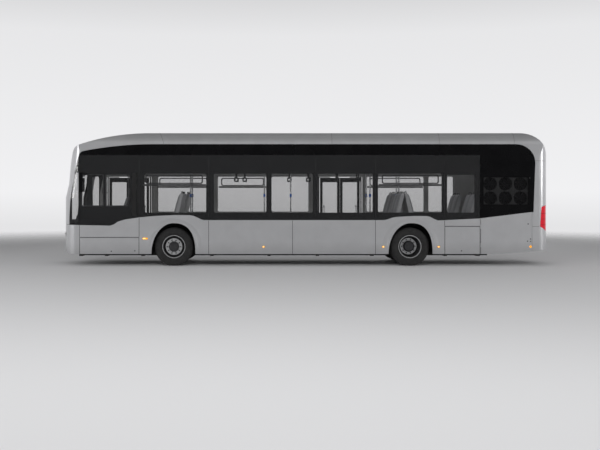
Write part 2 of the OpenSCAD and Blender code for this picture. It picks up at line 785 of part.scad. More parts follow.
// Traction battery under the raised floor and drive electronics behind the rear bulkhead
module battery_blocks() {
    color(dark) {
        box([step_x + 120, cabin_end - 60], [195 - inner_y, inner_y - 195],
            [departure_z + 20, rear_floor_z - house_t]);
        box([cabin_end + house_t, rear_x - 110], [140 - hatch_half, hatch_half - 140],
            [hatch_low_z + 60, hatch_top_z - 150]);
    }
}

module dashboard() {
    color(dark) intersection() {
        envelope(skin_t + frame_t + 5);
        side_prism() translate([front_x, 0]) polygon([[0, floor_z], [560, floor_z], [590, front_top_z - 133],
            [520, front_top_z + 147], [0, front_top_z + 87]]);
    }
}

// Wheel on an upright column that stands on the driver's platform
steer_x = front_x + 655;
driver_y = 555 - inner_y;
module steering_wheel() {
    color(black) {
        translate([steer_x, driver_y, platform_z]) cylinder(r = 38, h = 700);
        translate([steer_x + 10, driver_y, platform_z + 730]) rotate([0, 25, 0]) {
            rotate_extrude() translate([215, 0]) circle(17);
            translate([0, 0, -25]) cylinder(r = 60, h = 50, center = true);
            for (a = [90, 210, 330]) rotate(a) translate([120, 0, 0]) cube([200, 40, 16], center = true);
        }
    }
}

// Seat side profile: cushion line and raked back
module seat_outline() {
    polygon([[-20, 380], [430, 380], seat_edge, seat_fold, seat_top, [-150, 1070], [-170, 1040], [-40, 440]]);
}
seat_fold = [60, 470];
seat_edge = [450, 440];
seat_top = [-100, 1060];
module cushion_outline() {
    polygon([seat_fold + 0.02 * (seat_edge - seat_fold), seat_edge, [448, 490], [104, 515]]);
}
module back_outline() {
    polygon([seat_fold + 0.02 * (seat_top - seat_fold), [96, 522], [-50, 1045], seat_top]);
}

module driver_seat() {
    color(dark) translate([bay_1 - 430, driver_y, platform_z]) mirror([1, 0, 0]) {
        rotate([90, 0, 0]) linear_extrude(500, center = true) {
            seat_outline();
            cushion_outline();
            back_outline();
            translate([-215, 1040]) square([90, 300]);
        }
        translate([190, 0, 200]) cube([300, 300, 400], center = true);
    }
}

// Driver's rear wall and the bulkhead behind the passenger room
module partitions() {
    color(dark) {
        box([bay_1 - 175, bay_1 - 135], [-inner_y, platform_y], [floor_z, door_top_z]);
        box([cabin_end, cabin_end + house_t], [-inner_y, inner_y], [rear_floor_z - house_t, ceiling_z + 40]);
    }
}

// Seat pairs: [place of the seat's back, side, height under its shell, 1 facing forward or -1 backward,
// has a foot, distance from the wall]
seat_rows = [[axle_f + 60, left, seat_base_z, 1, 0, 30], [axle_f + 60, right, seat_base_z, 1, 0, 30],
             [axle_r - 312, left, seat_base_z, 1, 0, 30], [axle_r + 48, left, seat_base_z, -1, 0, 30],
             [axle_r - 312, right, seat_base_z, 1, 0, 30], [axle_r + 48, right, seat_base_z, -1, 0, 30],
             [bay_7 - 190, left, rear_floor_z, 1, 1, 30], [bay_7 - 270, right, rear_floor_z, 1, 1, 30],
             [bay_7 + 560, left, rear_floor_z, 1, 1, 140], [bay_7 + 520, right, rear_floor_z, 1, 1, 30]];

module at_seats(foot_only) {
    for (r = seat_rows, k = [0, 1]) if (r[4] >= foot_only)
        translate([r[0], r[1] * (inner_y - r[5] - seat_w / 2 - k * (seat_w + 10)), r[2]])
            mirror([r[3] > 0 ? 1 : 0, 0, 0]) children();
}

module seat_shells() {
    color(grey) {
        at_seats(0) rotate([90, 0, 0]) linear_extrude(seat_w, center = true) seat_outline();
        at_seats(1) translate([190, 0, 200]) cube([220, 200, 400], center = true);
    }
}

module seat_pads() {
    color(cloth) at_seats(0) rotate([90, 0, 0]) linear_extrude(seat_w - 40, center = true) {
        cushion_outline();
        back_outline();
    }
}

// Poles: [place along the bus, distance from the middle]
poles = [[axle_f + 330, -aisle_y], [axle_f + 330, aisle_y], [bay_3 - 120, -2 * aisle_y],
         [bay_3 + 560, -2 * aisle_y], [bay_4 + 60, 2 * aisle_y - 20], [bay_5 - 40, 2 * aisle_y - 20],
         [bay_5 - 40, -2 * aisle_y], [axle_r - 132, aisle_y], [axle_r - 132, -aisle_y]];
pole_r = 17;
module handrails() {
    color([0.75, 0.76, 0.78]) for (p = poles) translate([p[0], p[1], floor_z])
        cylinder(r = pole_r, h = ceiling_z - floor_z, $fn = 24);
}

module mirrors() {
    color(black) for (s = [left, right]) {
        translate([front_x + 540, s * (wall_y + 175), clear_z - 223]) intersection() {
            cube([150, 230, 470], center = true);
            cylinder(r = 128, h = 480, center = true);
        }
        translate([front_x + 560, s * wall_y, clear_z - 18]) rotate([-90 * s, 0, 0])
            cylinder(r = 18, h = 120, $fn = 24);
    }
}

// Air spring between an axle beam and the floor
module air_springs(x, top) {
    for (s = [left, right]) translate([x, s * (house_in - 110), top - 1])
        cylinder(r = 75, h = skirt_z - top + 1);
}

// Drop-centre front axle with a kingpin at each end
ear_t = 40;
sleeve_h = 150;
beam_z = [skirt_z - 110, skirt_z - 30];
module front_axle() {
    low_ear = hub_z - sleeve_h / 2 - ear_t;
    high_ear = hub_z + sleeve_h / 2;
    color(dark) {
        box([axle_f - 60, axle_f + 60], [-house_in - 130, house_in + 130], beam_z);
        air_springs(axle_f, beam_z[1]);
        for (s = [left, right]) {
            box([axle_f - 60, axle_f + 60], on_side(s, [house_in + 40, house_in + 130]),
                [beam_z[0], high_ear + ear_t]);
            for (z = [low_ear, high_ear]) {
                box([axle_f - 50, axle_f + 50], on_side(s, [house_in + 100, kingpin_y]), [z, z + ear_t]);
                translate([axle_f, s * kingpin_y, z]) cylinder(r = 50, h = ear_t);
            }
            translate([axle_f, s * kingpin_y, low_ear]) cylinder(r = kingpin_r, h = sleeve_h + 2 * ear_t);
        }
    }
}

// Knuckle: sleeve on the kingpin, spindle, and a steering arm that drops to the track rod below the floor
arm_back = 210;
arm_z = -45;
rod_z = skirt_z - 65;
rod_pin_r = 12;
rod_end_h = 30;
module knuckle(s) {
    foot_z = rod_z + rod_end_h / 2 + 2 - hub_z;
    color(steel) translate([axle_f, s * kingpin_y, hub_z]) difference() {
        union() {
            cylinder(r = 48, h = sleeve_h - 0.6, center = true);
            rotate([-90 * s, 0, 0]) cylinder(r = spindle_r, h = kingpin_in + 70);
            rotate([-90 * s, 0, 0]) cylinder(r = 70, h = 62);
            translate([arm_back / 2, 0, arm_z]) cube([arm_back, 36, 40], center = true);
            translate([arm_back, 0, foot_z]) cylinder(r = 20, h = arm_z + 20 - foot_z);
            translate([arm_back, 0, foot_z - rod_end_h - 4]) cylinder(r = rod_pin_r, h = rod_end_h + 10);
        }
        cylinder(r = kingpin_r + play, h = sleeve_h + 10, center = true);
    }
}
module knuckle_left() { knuckle(left); }
module knuckle_right() { knuckle(right); }

module tie_rod() {
    color(steel) translate([axle_f + arm_back, 0, rod_z]) difference() {
        union() {
            rotate([90, 0, 0]) cylinder(r = 14, h = 2 * kingpin_y - 40, center = true);
            for (s = [left, right]) translate([0, s * kingpin_y, 0])
                cylinder(r = 24, h = rod_end_h, center = true);
        }
        for (s = [left, right]) translate([0, s * kingpin_y, 0])
            cylinder(r = rod_pin_r + play, h = 60, center = true);
    }
}

// Low portal rear axle: dropped beam, upright housings and a spindle on each side
rear_face = (rear_track - twin_gap - tyre_w) / 2;
portal_y = [rear_face - 99, rear_face - 29];
portal_z = [skirt_z - 100, skirt_z - 20];
module rear_axle() {
    color(dark) {
        box([axle_r - 80, axle_r + 80], [-portal_y[1], portal_y[1]], portal_z);
        air_springs(axle_r, portal_z[1]);
        for (s = [left, right]) {
            box([axle_r - 80, axle_r + 80], on_side(s, portal_y), [portal_z[0], hub_z]);
            translate([axle_r, s * portal_y[0], hub_z]) rotate([-90 * s, 0, 0]) {
                cylinder(r = 175, h = portal_y[1] - portal_y[0]);
                cylinder(r = spindle_r, h = rear_track / 2 - portal_y[0] + 80);
            }
        }
    }
}

// Tyre section, turned about the wheel axis; half of it as [radius, share of the width]
tyre_half = [[tyre_r, 0.37], [tyre_r - 6, 0.415], [tyre_r - 20, 0.45], [tyre_r * 0.9, 0.487],
             [tyre_r * 0.8, 0.5], [tyre_r * 0.72, 0.485], [rim_r + 28, 0.44], [rim_r + 0.3, 0.40]];
module tyre() {
    rotate([90, 0, 0]) rotate_extrude($fn = 96) polygon(concat(
        [for (p = tyre_half) [p[0], p[1] * tyre_w]],
        [for (i = [len(tyre_half) - 1:-1:0]) [tyre_half[i][0], -tyre_half[i][1] * tyre_w]]));
}

// Rim barrel seen from its axle: outer edge flanges and a deep middle
module barrel_section() {
    w = tyre_w * 0.40;
    polygon([[rim_r - 14, -w], [rim_r, -w], [rim_r, w], [rim_r - 14, w], [rim_r - 22, w - 40],
        [rim_r - 34, w - 70], [rim_r - 34, 70 - w], [rim_r - 22, 40 - w]]);
}
bolt_circle_r = rim_r - 118;
disc_r = rim_r - 84;
module wheel_bolts(z, h) {
    for (k = [0:bolts - 1]) rotate(k * 360 / bolts) translate([bolt_circle_r, 0, z])
        cylinder(r = 16, h = h, $fn = 6);
}
module hand_holes() {
    for (k = [0:bolts - 1]) rotate((k + 0.5) * 360 / bolts) translate([rim_r - 62, 0, 0])
        cylinder(r = 20, h = tall, center = true);
}

// Front rim: disc bulging outwards, hub with its cap; local +Z points outwards
front_disc_z = 70;
module front_wheel_rim() {
    difference() {
        union() {
            rotate_extrude($fn = 96) barrel_section();
            rotate_extrude($fn = 96) polygon([[100, front_disc_z - 14], [disc_r - 2, front_disc_z - 14],
                [rim_r - 28, 10], [rim_r - 28, 28], [disc_r + 4, front_disc_z], [100, front_disc_z]]);
            translate([0, 0, -55]) cylinder(r = 138, h = front_disc_z + 50);
            translate([0, 0, front_disc_z - 10]) cylinder(r1 = 132, r2 = 126, h = 55);
            translate([0, 0, front_disc_z + 45]) cylinder(r1 = 126, r2 = 70, h = 16);
            wheel_bolts(front_disc_z - 5, 38);
        }
        translate([0, 0, -60]) cylinder(r = spindle_r + play, h = 60 + front_disc_z + 30);
        hand_holes();
    }
}

// Rear rim: two barrels on one flange, the outer disc set deep, with the hub in its middle
module rear_wheel_rim() {
    half = twin_gap / 2;
    difference() {
        union() {
            for (k = [-1, 1]) rotate_extrude($fn = 96) translate([0, k * half]) barrel_section();
            rotate_extrude($fn = 96) polygon([[100, -14], [disc_r + 3, -14], [rim_r - 28, 40 - half],
                [rim_r - 28, 62 - half], [disc_r + 10, 0], [rim_r - 28, half - 62], [rim_r - 28, half - 40],
                [disc_r + 3, 14], [100, 14]]);
            translate([0, 0, -120]) cylinder(r = 138, h = 220);
            translate([0, 0, 100]) cylinder(r1 = 138, r2 = 110, h = 30);
            wheel_bolts(0, 48);
        }
        translate([0, 0, -130]) cylinder(r = spindle_r + play, h = 130 + 90);
        hand_holes();
    }
}

module front_tyre(s) {
    color(rubber) translate([axle_f, s * front_track / 2, hub_z]) tyre();
}
module front_rim(s) {
    color(steel) translate([axle_f, s * front_track / 2, hub_z]) rotate([-90 * s, 0, 0]) front_wheel_rim();
}
module front_tyre_left() { front_tyre(left); }
module front_tyre_right() { front_tyre(right); }
module front_rim_left() { front_rim(left); }
module front_rim_right() { front_rim(right); }

module rear_tyres(s) {
    color(rubber) for (k = [-1, 1])
        translate([axle_r, s * (rear_track + k * twin_gap) / 2, hub_z]) tyre();
}
module rear_rims(s) {
    color(steel) translate([axle_r, s * rear_track / 2, hub_z]) rotate([-90 * s, 0, 0]) rear_wheel_rim();
}
module rear_tyres_left() { rear_tyres(left); }
module rear_tyres_right() { rear_tyres(right); }
module rear_rims_left() { rear_rims(left); }
module rear_rims_right() { rear_rims(right); }

// Door posts and leaves: [doorway, 1 where the post is at the front jamb or -1 at the rear]
leaves = [[0, 1], [0, -1], [1, 1], [1, -1]];
function post_x(i) =
    let (w = door_span[leaves[i][0]])
    leaves[i][1] > 0 ? w[0] + post_inset : w[1] - post_inset;
function arm_len(i) =
    let (w = door_span[leaves[i][0]])
    ((w[1] - w[0]) / 2 - post_inset) / 2;

module post(i) {
    d = leaves[i][1];
    reach = arm_len(i);
    color(black) translate([post_x(i), leaf_mid_y, 0]) {
        translate([0, 0, floor_z + 0.3]) cylinder(r = post_r, h = door_top_z - floor_z - 0.6);
        for (z = [floor_z + arm_gap, door_top_z - arm_gap - arm_t]) difference() {
            union() {
                translate([d > 0 ? 0 : -reach, -18, z]) cube([reach, 36, arm_t]);
                translate([d * reach, 0, z]) cylinder(r = 18, h = arm_t);
            }
            translate([d * reach, 0, z - 1]) cylinder(r = pin_r + play, h = arm_t + 2);
        }
    }
}

module leaf(i) {
    d = leaves[i][1];
    reach = arm_len(i);
    x0 = post_x(i) + d * leaf_from_post;
    x1 = post_x(i) + d * (2 * reach - 4);
    xs = [min(x0, x1), max(x0, x1)];
    color(black) {
        side_plate(right, leaf_mid_y - leaf_t / 2, leaf_mid_y + leaf_t / 2) difference() {
            translate([xs[0], leaf_z[0]]) square([xs[1] - xs[0], leaf_z[1] - leaf_z[0]]);
            rounded([xs[0] + 60, xs[1] - 60], [leaf_z[0] + 110, leaf_z[1] - 110], 30);
        }
        for (z = [leaf_z[0] - arm_gap - arm_t, leaf_z[1] - 1])
            translate([post_x(i) + d * reach, leaf_mid_y, z]) cylinder(r = pin_r, h = arm_gap + arm_t + 1);
    }
    color(tint) side_plate(right, leaf_mid_y - 6, leaf_mid_y + 6)
        rounded([xs[0] + 60, xs[1] - 60], [leaf_z[0] + 110, leaf_z[1] - 110], 30);
}
module post_1() { post(0); }
module post_2() { post(1); }
module post_3() { post(2); }
module post_4() { post(3); }
module leaf_1() { leaf(0); }
module leaf_2() { leaf(1); }
module leaf_3() { leaf(2); }
module leaf_4() { leaf(3); }

underframe();
floor();
wheelhouses();
front_frame();
left_frame();
right_frame();
rear_frame();
front_panel();
skirt_panels();
rear_panels();
windscreen();
side_glass();
rear_window();
cantrails();
roof_fairings();
roof_caps();
roof_deck();
roof_units();
ceiling();
headlamps();
tail_lamps();
marker_lamps();
cooling_fans();
battery_blocks();
dashboard();
steering_wheel();
driver_seat();
partitions();
seat_shells();
seat_pads();
handrails();
mirrors();
front_axle();
rear_axle();
driver_flap();
rear_flap();
service_door();
service_door_top();
tail_hatch();
knuckle_left();
knuckle_right();
tie_rod();
front_tyre_left();
front_tyre_right();
front_rim_left();
front_rim_right();
rear_tyres_left();
rear_tyres_right();
rear_rims_left();
rear_rims_right();
post_1();
post_2();
post_3();
post_4();
leaf_1();
leaf_2();
leaf_3();
leaf_4();
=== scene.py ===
import math
import bpy
import bmesh
from mathutils import Vector, Matrix


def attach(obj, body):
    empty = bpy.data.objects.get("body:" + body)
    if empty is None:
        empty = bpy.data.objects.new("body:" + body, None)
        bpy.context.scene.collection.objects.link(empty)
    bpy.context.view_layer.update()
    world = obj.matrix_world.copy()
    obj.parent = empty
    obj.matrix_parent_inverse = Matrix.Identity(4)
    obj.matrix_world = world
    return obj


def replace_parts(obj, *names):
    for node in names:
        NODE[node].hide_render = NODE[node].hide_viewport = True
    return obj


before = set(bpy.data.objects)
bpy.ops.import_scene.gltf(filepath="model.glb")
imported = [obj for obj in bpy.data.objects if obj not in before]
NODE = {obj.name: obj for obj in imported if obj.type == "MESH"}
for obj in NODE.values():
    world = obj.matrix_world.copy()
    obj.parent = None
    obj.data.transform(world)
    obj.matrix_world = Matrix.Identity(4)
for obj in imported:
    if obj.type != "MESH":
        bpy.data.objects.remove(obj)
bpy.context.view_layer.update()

# Stations of the bus in metres: front and rear end, axles, side wall, window bays, door openings
FX, RX = -6.0675, 6.0675
LENGTH = RX - FX
AF, AR = FX + 2.805, FX + 8.705
WALL = 1.265
BAY1, BAY2, BAY5, BAY6 = AF - 0.852, AF + 0.878, AR - 0.873, AR + 0.847
BAY7 = BAY6 + 0.883
BAY3 = BAY2 + (BAY5 - BAY2) * 0.361
BAY4 = BAY2 + (BAY5 - BAY2) * 0.640
CORNER = FX + 0.468
TAIL = RX - 0.410
HUB = 0.478
FLOOR, CEIL = 0.340, 2.560
DOORS = [FX + 0.647, BAY4 + 0.190]
# Trim starts at LET_IN, just under the wall's face, and rubbers stand out from the wall by LIP
LET_IN = WALL - 0.0004
LIP = 0.0006
# Inner face of the panes, where dark printing lies: its two faces
PRINT_Y = (-1.2448, -1.2430)
# Roof edge: fairing's outer side, foot, radius and the roof's top
FAIRING_Y, FAIRING_Z, FAIRING_R, ROOF_Z = 1.240, 3.035, 0.255, 3.330
# Wheels: tyre's width and middles, hub, disc, dish and bolt circle radii
TYRE_W = 0.275
FRONT_TYRE_Y, REAR_TYRES_Y = 1.0525, (0.7465, 1.0575)
HUB_R, DISC_R, DISH_R = 0.1385, 0.2065, 0.262
BOLT_R, NUT_R, BOLTS = 0.168, 0.0165, 10
# Front: radius of the side profile from NOSE_Z up, and of the plan
NOSE_R, NOSE_Z, PLAN_R = 7.84, 0.8, 7.9
# Mirror housing's middle, and the mirror's arm above it
MIRROR_X, MIRROR_Y, MIRROR_Z, ARM_RISE = FX + 0.540, WALL + 0.175, 2.080, 0.205
# Door leaf's middle plane, height range and inner face
LEAF_Y, LEAF_Z = 1.242, (0.366, 2.274)
LEAF_INSIDE = 1.2221
# Ceiling rails, headlamps, radii of the front and tail corners
RAIL_Y, RAIL_Z = 0.225, 2.36
LAMP_Z = 0.79
NOSE_CORNER_R, TAIL_R = 0.330, 0.23


# Materials
def nodes_of(name):
    """New material with its node tree and its shader."""
    m = bpy.data.materials.new(name)
    m.use_nodes = True
    t = m.node_tree
    return m, t, t.nodes["Principled BSDF"]


def noise(t, scale, detail=4.0, stretch=None):
    """Noise texture in object coordinates."""
    c = t.nodes.new("ShaderNodeTexCoord")
    n = t.nodes.new("ShaderNodeTexNoise")
    n.inputs["Scale"].default_value = scale
    n.inputs["Detail"].default_value = detail
    n.inputs["Roughness"].default_value = 0.55
    if stretch:
        mp = t.nodes.new("ShaderNodeMapping")
        mp.inputs["Scale"].default_value = stretch
        t.links.new(c.outputs["Object"], mp.inputs["Vector"])
        t.links.new(mp.outputs["Vector"], n.inputs["Vector"])
    else:
        t.links.new(c.outputs["Object"], n.inputs["Vector"])
    return n


def material(name, dark, light, scale=6.0, rough=(0.35, 0.45), metal=0.0, bump=0.0, bump_scale=200.0,
             coat=0.0, alpha=None, ior=None, stretch=None, emit=0.0, foot_darkening=None, sheen=0.0, spec=None):
    """Colour and roughness vary with noise; a darker colour towards the bottom is given as (height from,
    height to, strength at the foot).
    """
    m, t, p = nodes_of(name)
    n = noise(t, scale, stretch=stretch)
    ramp = t.nodes.new("ShaderNodeValToRGB")
    ramp.color_ramp.elements[0].position = 0.3
    ramp.color_ramp.elements[1].position = 0.7
    ramp.color_ramp.elements[0].color = (*dark, 1)
    ramp.color_ramp.elements[1].color = (*light, 1)
    t.links.new(n.outputs["Fac"], ramp.inputs["Fac"])
    colour = ramp.outputs["Color"]
    # darker towards the bottom: below the given height the colour mixes towards a dark brown-grey
    if foot_darkening:
        c = t.nodes.new("ShaderNodeTexCoord")
        s = t.nodes.new("ShaderNodeSeparateXYZ")
        r = t.nodes.new("ShaderNodeMapRange")
        r.inputs["From Min"].default_value = foot_darkening[0]
        r.inputs["From Max"].default_value = foot_darkening[1]
        r.inputs["To Min"].default_value = foot_darkening[2]
        r.inputs["To Max"].default_value = 0.0
        mx = t.nodes.new("ShaderNodeMix")
        mx.data_type = "RGBA"
        mx.inputs["B"].default_value = (0.10, 0.095, 0.09, 1)
        t.links.new(c.outputs["Object"], s.inputs["Vector"])
        t.links.new(s.outputs["Z"], r.inputs["Value"])
        t.links.new(r.outputs["Result"], mx.inputs["Factor"])
        t.links.new(colour, mx.inputs["A"])
        colour = mx.outputs["Result"]
    t.links.new(colour, p.inputs["Base Color"])
    mr = t.nodes.new("ShaderNodeMapRange")
    mr.inputs["To Min"].default_value = rough[0]
    mr.inputs["To Max"].default_value = rough[1]
    n2 = noise(t, scale * 2.7, detail=6.0, stretch=stretch)
    t.links.new(n2.outputs["Fac"], mr.inputs["Value"])
    t.links.new(mr.outputs["Result"], p.inputs["Roughness"])
    p.inputs["Metallic"].default_value = metal
    p.inputs["Coat Weight"].default_value = coat
    p.inputs["Coat Roughness"].default_value = 0.06
    if spec is not None:
        p.inputs["Specular IOR Level"].default_value = spec
    if sheen:
        p.inputs["Sheen Weight"].default_value = sheen
    if ior:
        p.inputs["IOR"].default_value = ior
    if alpha is not None:
        p.inputs["Alpha"].default_value = alpha
    if emit:
        p.inputs["Emission Color"].default_value = (*light, 1)
        p.inputs["Emission Strength"].default_value = emit
    if bump:
        b = t.nodes.new("ShaderNodeBump")
        b.inputs["Strength"].default_value = bump
        b.inputs["Distance"].default_value = 0.002
        n3 = noise(t, bump_scale, detail=3.0)
        t.links.new(n3.outputs["Fac"], b.inputs["Height"])
        t.links.new(b.outputs["Normal"], p.inputs["Normal"])
    return m


# the silver paint turns darker towards the bottom, below 0.62 m
PAINT = material("silver_paint", (0.55, 0.553, 0.565), (0.59, 0.593, 0.605), 3.0, (0.32, 0.40), 0.62, 0.02,
                 900, 0.45, foot_darkening=(0.28, 0.62, 0.22))
GLASS = material("tinted_glass", (0.010, 0.011, 0.012), (0.016, 0.017, 0.018), 2.0, (0.01, 0.03),
                 alpha=0.20, ior=2.2)
SCREEN = material("windscreen_glass", (0.010, 0.011, 0.012), (0.016, 0.017, 0.018), 2.0, (0.01, 0.03),
                  alpha=0.18, ior=1.95)
PRIVACY = material("dark_glass", (0.006, 0.006, 0.007), (0.010, 0.010, 0.011), 2.0, (0.02, 0.05),
                   alpha=0.85)
BLACK = material("black_gloss", (0.002, 0.002, 0.0025), (0.004, 0.004, 0.0045), 3.0, (0.18, 0.28),
                 spec=0.12)
PRINT = material("black_print", (0.004, 0.004, 0.005), (0.007, 0.007, 0.008), 8.0, (0.5, 0.6), spec=0.05)
MATT = material("black_plastic", (0.018, 0.018, 0.019), (0.028, 0.028, 0.030), 30.0, (0.5, 0.65), bump=0.15,
                bump_scale=700)
CHASSIS = material("chassis_black", (0.012, 0.012, 0.013), (0.030, 0.029, 0.028), 7.0, (0.55, 0.8),
                   bump=0.2, bump_scale=120)
LINING = material("grey_lining", (0.42, 0.42, 0.41), (0.47, 0.47, 0.46), 5.0, (0.5, 0.6), bump=0.08,
                  bump_scale=500)
VINYL = material("floor_vinyl", (0.10, 0.105, 0.115), (0.20, 0.205, 0.215), 160.0, (0.5, 0.65), bump=0.1,
                 bump_scale=900)
ROOF = material("roof_grey", (0.34, 0.345, 0.355), (0.42, 0.425, 0.435), 4.0, (0.4, 0.5), 0.2, 0.03, 400)
STEEL = material("brushed_rail", (0.52, 0.53, 0.54), (0.62, 0.63, 0.64), 40.0, (0.22, 0.32), 0.9,
                 stretch=(1, 1, 0.03))
IRON = material("cast_steel", (0.07, 0.07, 0.075), (0.12, 0.12, 0.125), 30.0, (0.45, 0.6), 0.7, 0.2, 300)
RIM = material("wheel_silver", (0.50, 0.505, 0.51), (0.60, 0.605, 0.61), 25.0, (0.25, 0.36), 0.75, 0.03,
               300)
# painted shade for the wheel's dish, between the bolt ring and the outer flange
RIM_SHADE = material("wheel_shadow", (0.020, 0.020, 0.021), (0.045, 0.045, 0.046), 25.0, (0.45, 0.6), 0.3,
                   0.05, 300)
HUBMAT = material("hub_cap", (0.035, 0.035, 0.037), (0.06, 0.06, 0.063), 20.0, (0.3, 0.42), 0.5, 0.05, 300)
TYRE = material("tyre_rubber", (0.012, 0.012, 0.0125), (0.026, 0.0255, 0.025), 18.0, (0.6, 0.8), bump=0.25,
                bump_scale=350)
AMBER = material("amber_lens", (0.85, 0.25, 0.01), (1.0, 0.42, 0.03), 60.0, (0.15, 0.25), coat=0.5,
                 emit=0.6)
RED = material("red_lens", (0.46, 0.001, 0.010), (0.62, 0.002, 0.018), 60.0, (0.15, 0.25), coat=0.15,
               emit=0.30, spec=0.3)
LENS = material("clear_lens", (0.55, 0.57, 0.60), (0.75, 0.77, 0.80), 50.0, (0.05, 0.12), 0.1, coat=0.8)
CLOTH = material("seat_cloth", (0.17, 0.175, 0.19), (0.38, 0.385, 0.40), 420.0, (0.8, 0.95), bump=0.5,
                 bump_scale=1400, sheen=0.3)
SHELL = material("seat_shell", (0.38, 0.385, 0.395), (0.44, 0.445, 0.455), 12.0, (0.45, 0.55), bump=0.06,
                 bump_scale=600)
GLOW = material("lens_core", (1.0, 0.60, 0.14), (1.0, 0.74, 0.30), 60.0, (0.15, 0.25), coat=0.3, emit=0.9)
PLATE = material("fan_plate", (0.014, 0.014, 0.015), (0.020, 0.020, 0.021), 30.0, (0.45, 0.55))
SILVER = material("mirror_silver", (0.75, 0.76, 0.77), (0.85, 0.86, 0.87), 3.0, (0.02, 0.05), 1.0)
BLUE = material("stop_button", (0.02, 0.10, 0.42), (0.03, 0.15, 0.55), 30.0, (0.3, 0.4))
RUBBER = material("seal_rubber", (0.010, 0.010, 0.010), (0.018, 0.018, 0.018), 40.0, (0.7, 0.85))
LIGHTSTRIP = material("light_strip", (0.85, 0.87, 0.9), (0.95, 0.96, 0.98), 5.0, (0.3, 0.4), emit=1.2)


# Helpers
def smooth(obj, angle):
    """Smooth shading up to an angle in degrees."""
    for p in obj.data.polygons:
        p.use_smooth = True
    bpy.context.view_layer.objects.active = obj
    for o in bpy.context.selected_objects:
        o.select_set(False)
    obj.select_set(True)
    bpy.ops.object.shade_smooth_by_angle(angle=math.radians(angle))


def add(name, verts, faces, index, mats, body, angle, bevel):
    """One piece of the scene that rides on a body; index holds the faces' places in mats."""
    me = bpy.data.meshes.new(name)
    me.from_pydata([tuple(v) for v in verts], [], faces)
    me.validate()
    o = bpy.data.objects.new(name, me)
    bpy.context.scene.collection.objects.link(o)
    for m in mats:
        me.materials.append(m)
    for p, i in zip(me.polygons, index):
        p.material_index = i
    bm = bmesh.new()
    bm.from_mesh(me)
    bmesh.ops.recalc_face_normals(bm, faces=bm.faces)
    bm.to_mesh(me)
    bm.free()
    if bevel:
        b = o.modifiers.new("edge", "BEVEL")
        b.width = bevel
        b.segments = 2
        b.limit_method = "ANGLE"
    if angle:
        smooth(o, angle)
    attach(o, body)
    return o


BOX_FACES = [(0, 1, 3, 2), (4, 6, 7, 5), (0, 4, 5, 1), (2, 3, 7, 6), (0, 2, 6, 4), (1, 5, 7, 3)]


class Build:
    """Collects closed forms into one mesh."""

    def __init__(self):
        self.verts, self.faces, self.slots = [], [], []

    def put(self, verts, faces, k=0):
        """Adds one form; k is the place of its material in the piece's list."""
        n = len(self.verts)
        self.verts += [Vector(v) for v in verts]
        self.faces += [tuple(a + n for a in f) for f in faces]
        self.slots += [k] * len(faces)

    def box(self, x, y, z, k=0, turn=None):
        """Box from three ranges; turn is (axis, degrees) about its middle."""
        vs = [Vector((a, b, c)) for a in x for b in y for c in z]
        if turn:
            mid = Vector(((x[0] + x[1]) / 2, (y[0] + y[1]) / 2, (z[0] + z[1]) / 2))
            r = Matrix.Rotation(math.radians(turn[1]), 3, turn[0])
            vs = [mid + r @ (v - mid) for v in vs]
        self.put(vs, BOX_FACES, k)

    def loft(self, rings, k=0):
        """Closed form through rings of equal length, with an end face on the first and last."""
        n = len(rings[0])
        vs = [v for r in rings for v in r]
        fs = []
        for a in range(len(rings) - 1):
            for b in range(n):
                c = (b + 1) % n
                fs.append((a * n + b, a * n + c, (a + 1) * n + c, (a + 1) * n + b))
        fs.append(tuple(range(n))[::-1])
        fs.append(tuple((len(rings) - 1) * n + b for b in range(n)))
        self.put(vs, fs, k)

    def tube(self, pts, r, seg=10, k=0):
        """Round bar along points; r is one radius or one for each point."""
        pts = [Vector(p) for p in pts]
        rings = []
        up = None
        for i, p in enumerate(pts):
            d = (pts[min(i + 1, len(pts) - 1)] - pts[max(i - 1, 0)]).normalized()
            if up is None:
                up = d.orthogonal().normalized()
            up = (up - d * up.dot(d)).normalized()
            w = d.cross(up)
            rr = r[i] if isinstance(r, (list, tuple)) else r
            rings.append([p + (up * math.cos(a) + w * math.sin(a)) * rr
                          for a in [2 * math.pi * j / seg for j in range(seg)]])
        self.loft(rings, k)

    def revolve(self, profile, centre, axis, seg=48, k=0, closed=False):
        """profile: [(radius, along axis)]; axis is a unit vector."""
        axis = Vector(axis)
        u = axis.orthogonal().normalized()
        w = axis.cross(u)
        c = Vector(centre)
        n = len(profile)
        vs = [c + axis * h + (u * math.cos(a) + w * math.sin(a)) * r
              for a in [2 * math.pi * j / seg for j in range(seg)] for r, h in profile]
        fs = []
        for j in range(seg):
            j2 = (j + 1) % seg
            for i in range(n if closed else n - 1):
                i2 = (i + 1) % n
                fs.append((j * n + i, j2 * n + i, j2 * n + i2, j * n + i2))
        self.put(vs, fs, k)

    def ring(self, outer, inner, y0, y1):
        """Frame between two closed outlines in x, z, from y0 to y1."""
        n = len(outer)
        vs = [Vector((p[0], y, p[1])) for y in (y0, y1) for o in (outer, inner) for p in o]
        fs = []
        for b in range(n):
            c = (b + 1) % n
            fs += [(b, c, n + c, n + b), (2 * n + b, 3 * n + b, 3 * n + c, 2 * n + c),
                   (b, 2 * n + b, 2 * n + c, c), (n + b, n + c, 3 * n + c, 3 * n + b)]
        self.put(vs, fs)

    def plate(self, outline, y0, y1):
        """Plate with an outline in x, z, from y0 to y1."""
        n = len(outline)
        vs = [Vector((p[0], y, p[1])) for y in (y0, y1) for p in outline]
        fs = [tuple(range(n)), tuple(range(2 * n - 1, n - 1, -1))]
        fs += [(b, n + b, n + (b + 1) % n, (b + 1) % n) for b in range(n)]
        self.put(vs, fs)

    def turn(self, start, place):
        """Moves every vertex from number start on by place(vertex)."""
        self.verts[start:] = [place(v) for v in self.verts[start:]]

    def done(self, name, mat, body="body", angle=35, bevel=0.0, mats=None):
        """Makes the piece, of one material or of the list mats."""
        return add(name, self.verts, self.faces, self.slots, mats or [mat], body, angle, bevel)


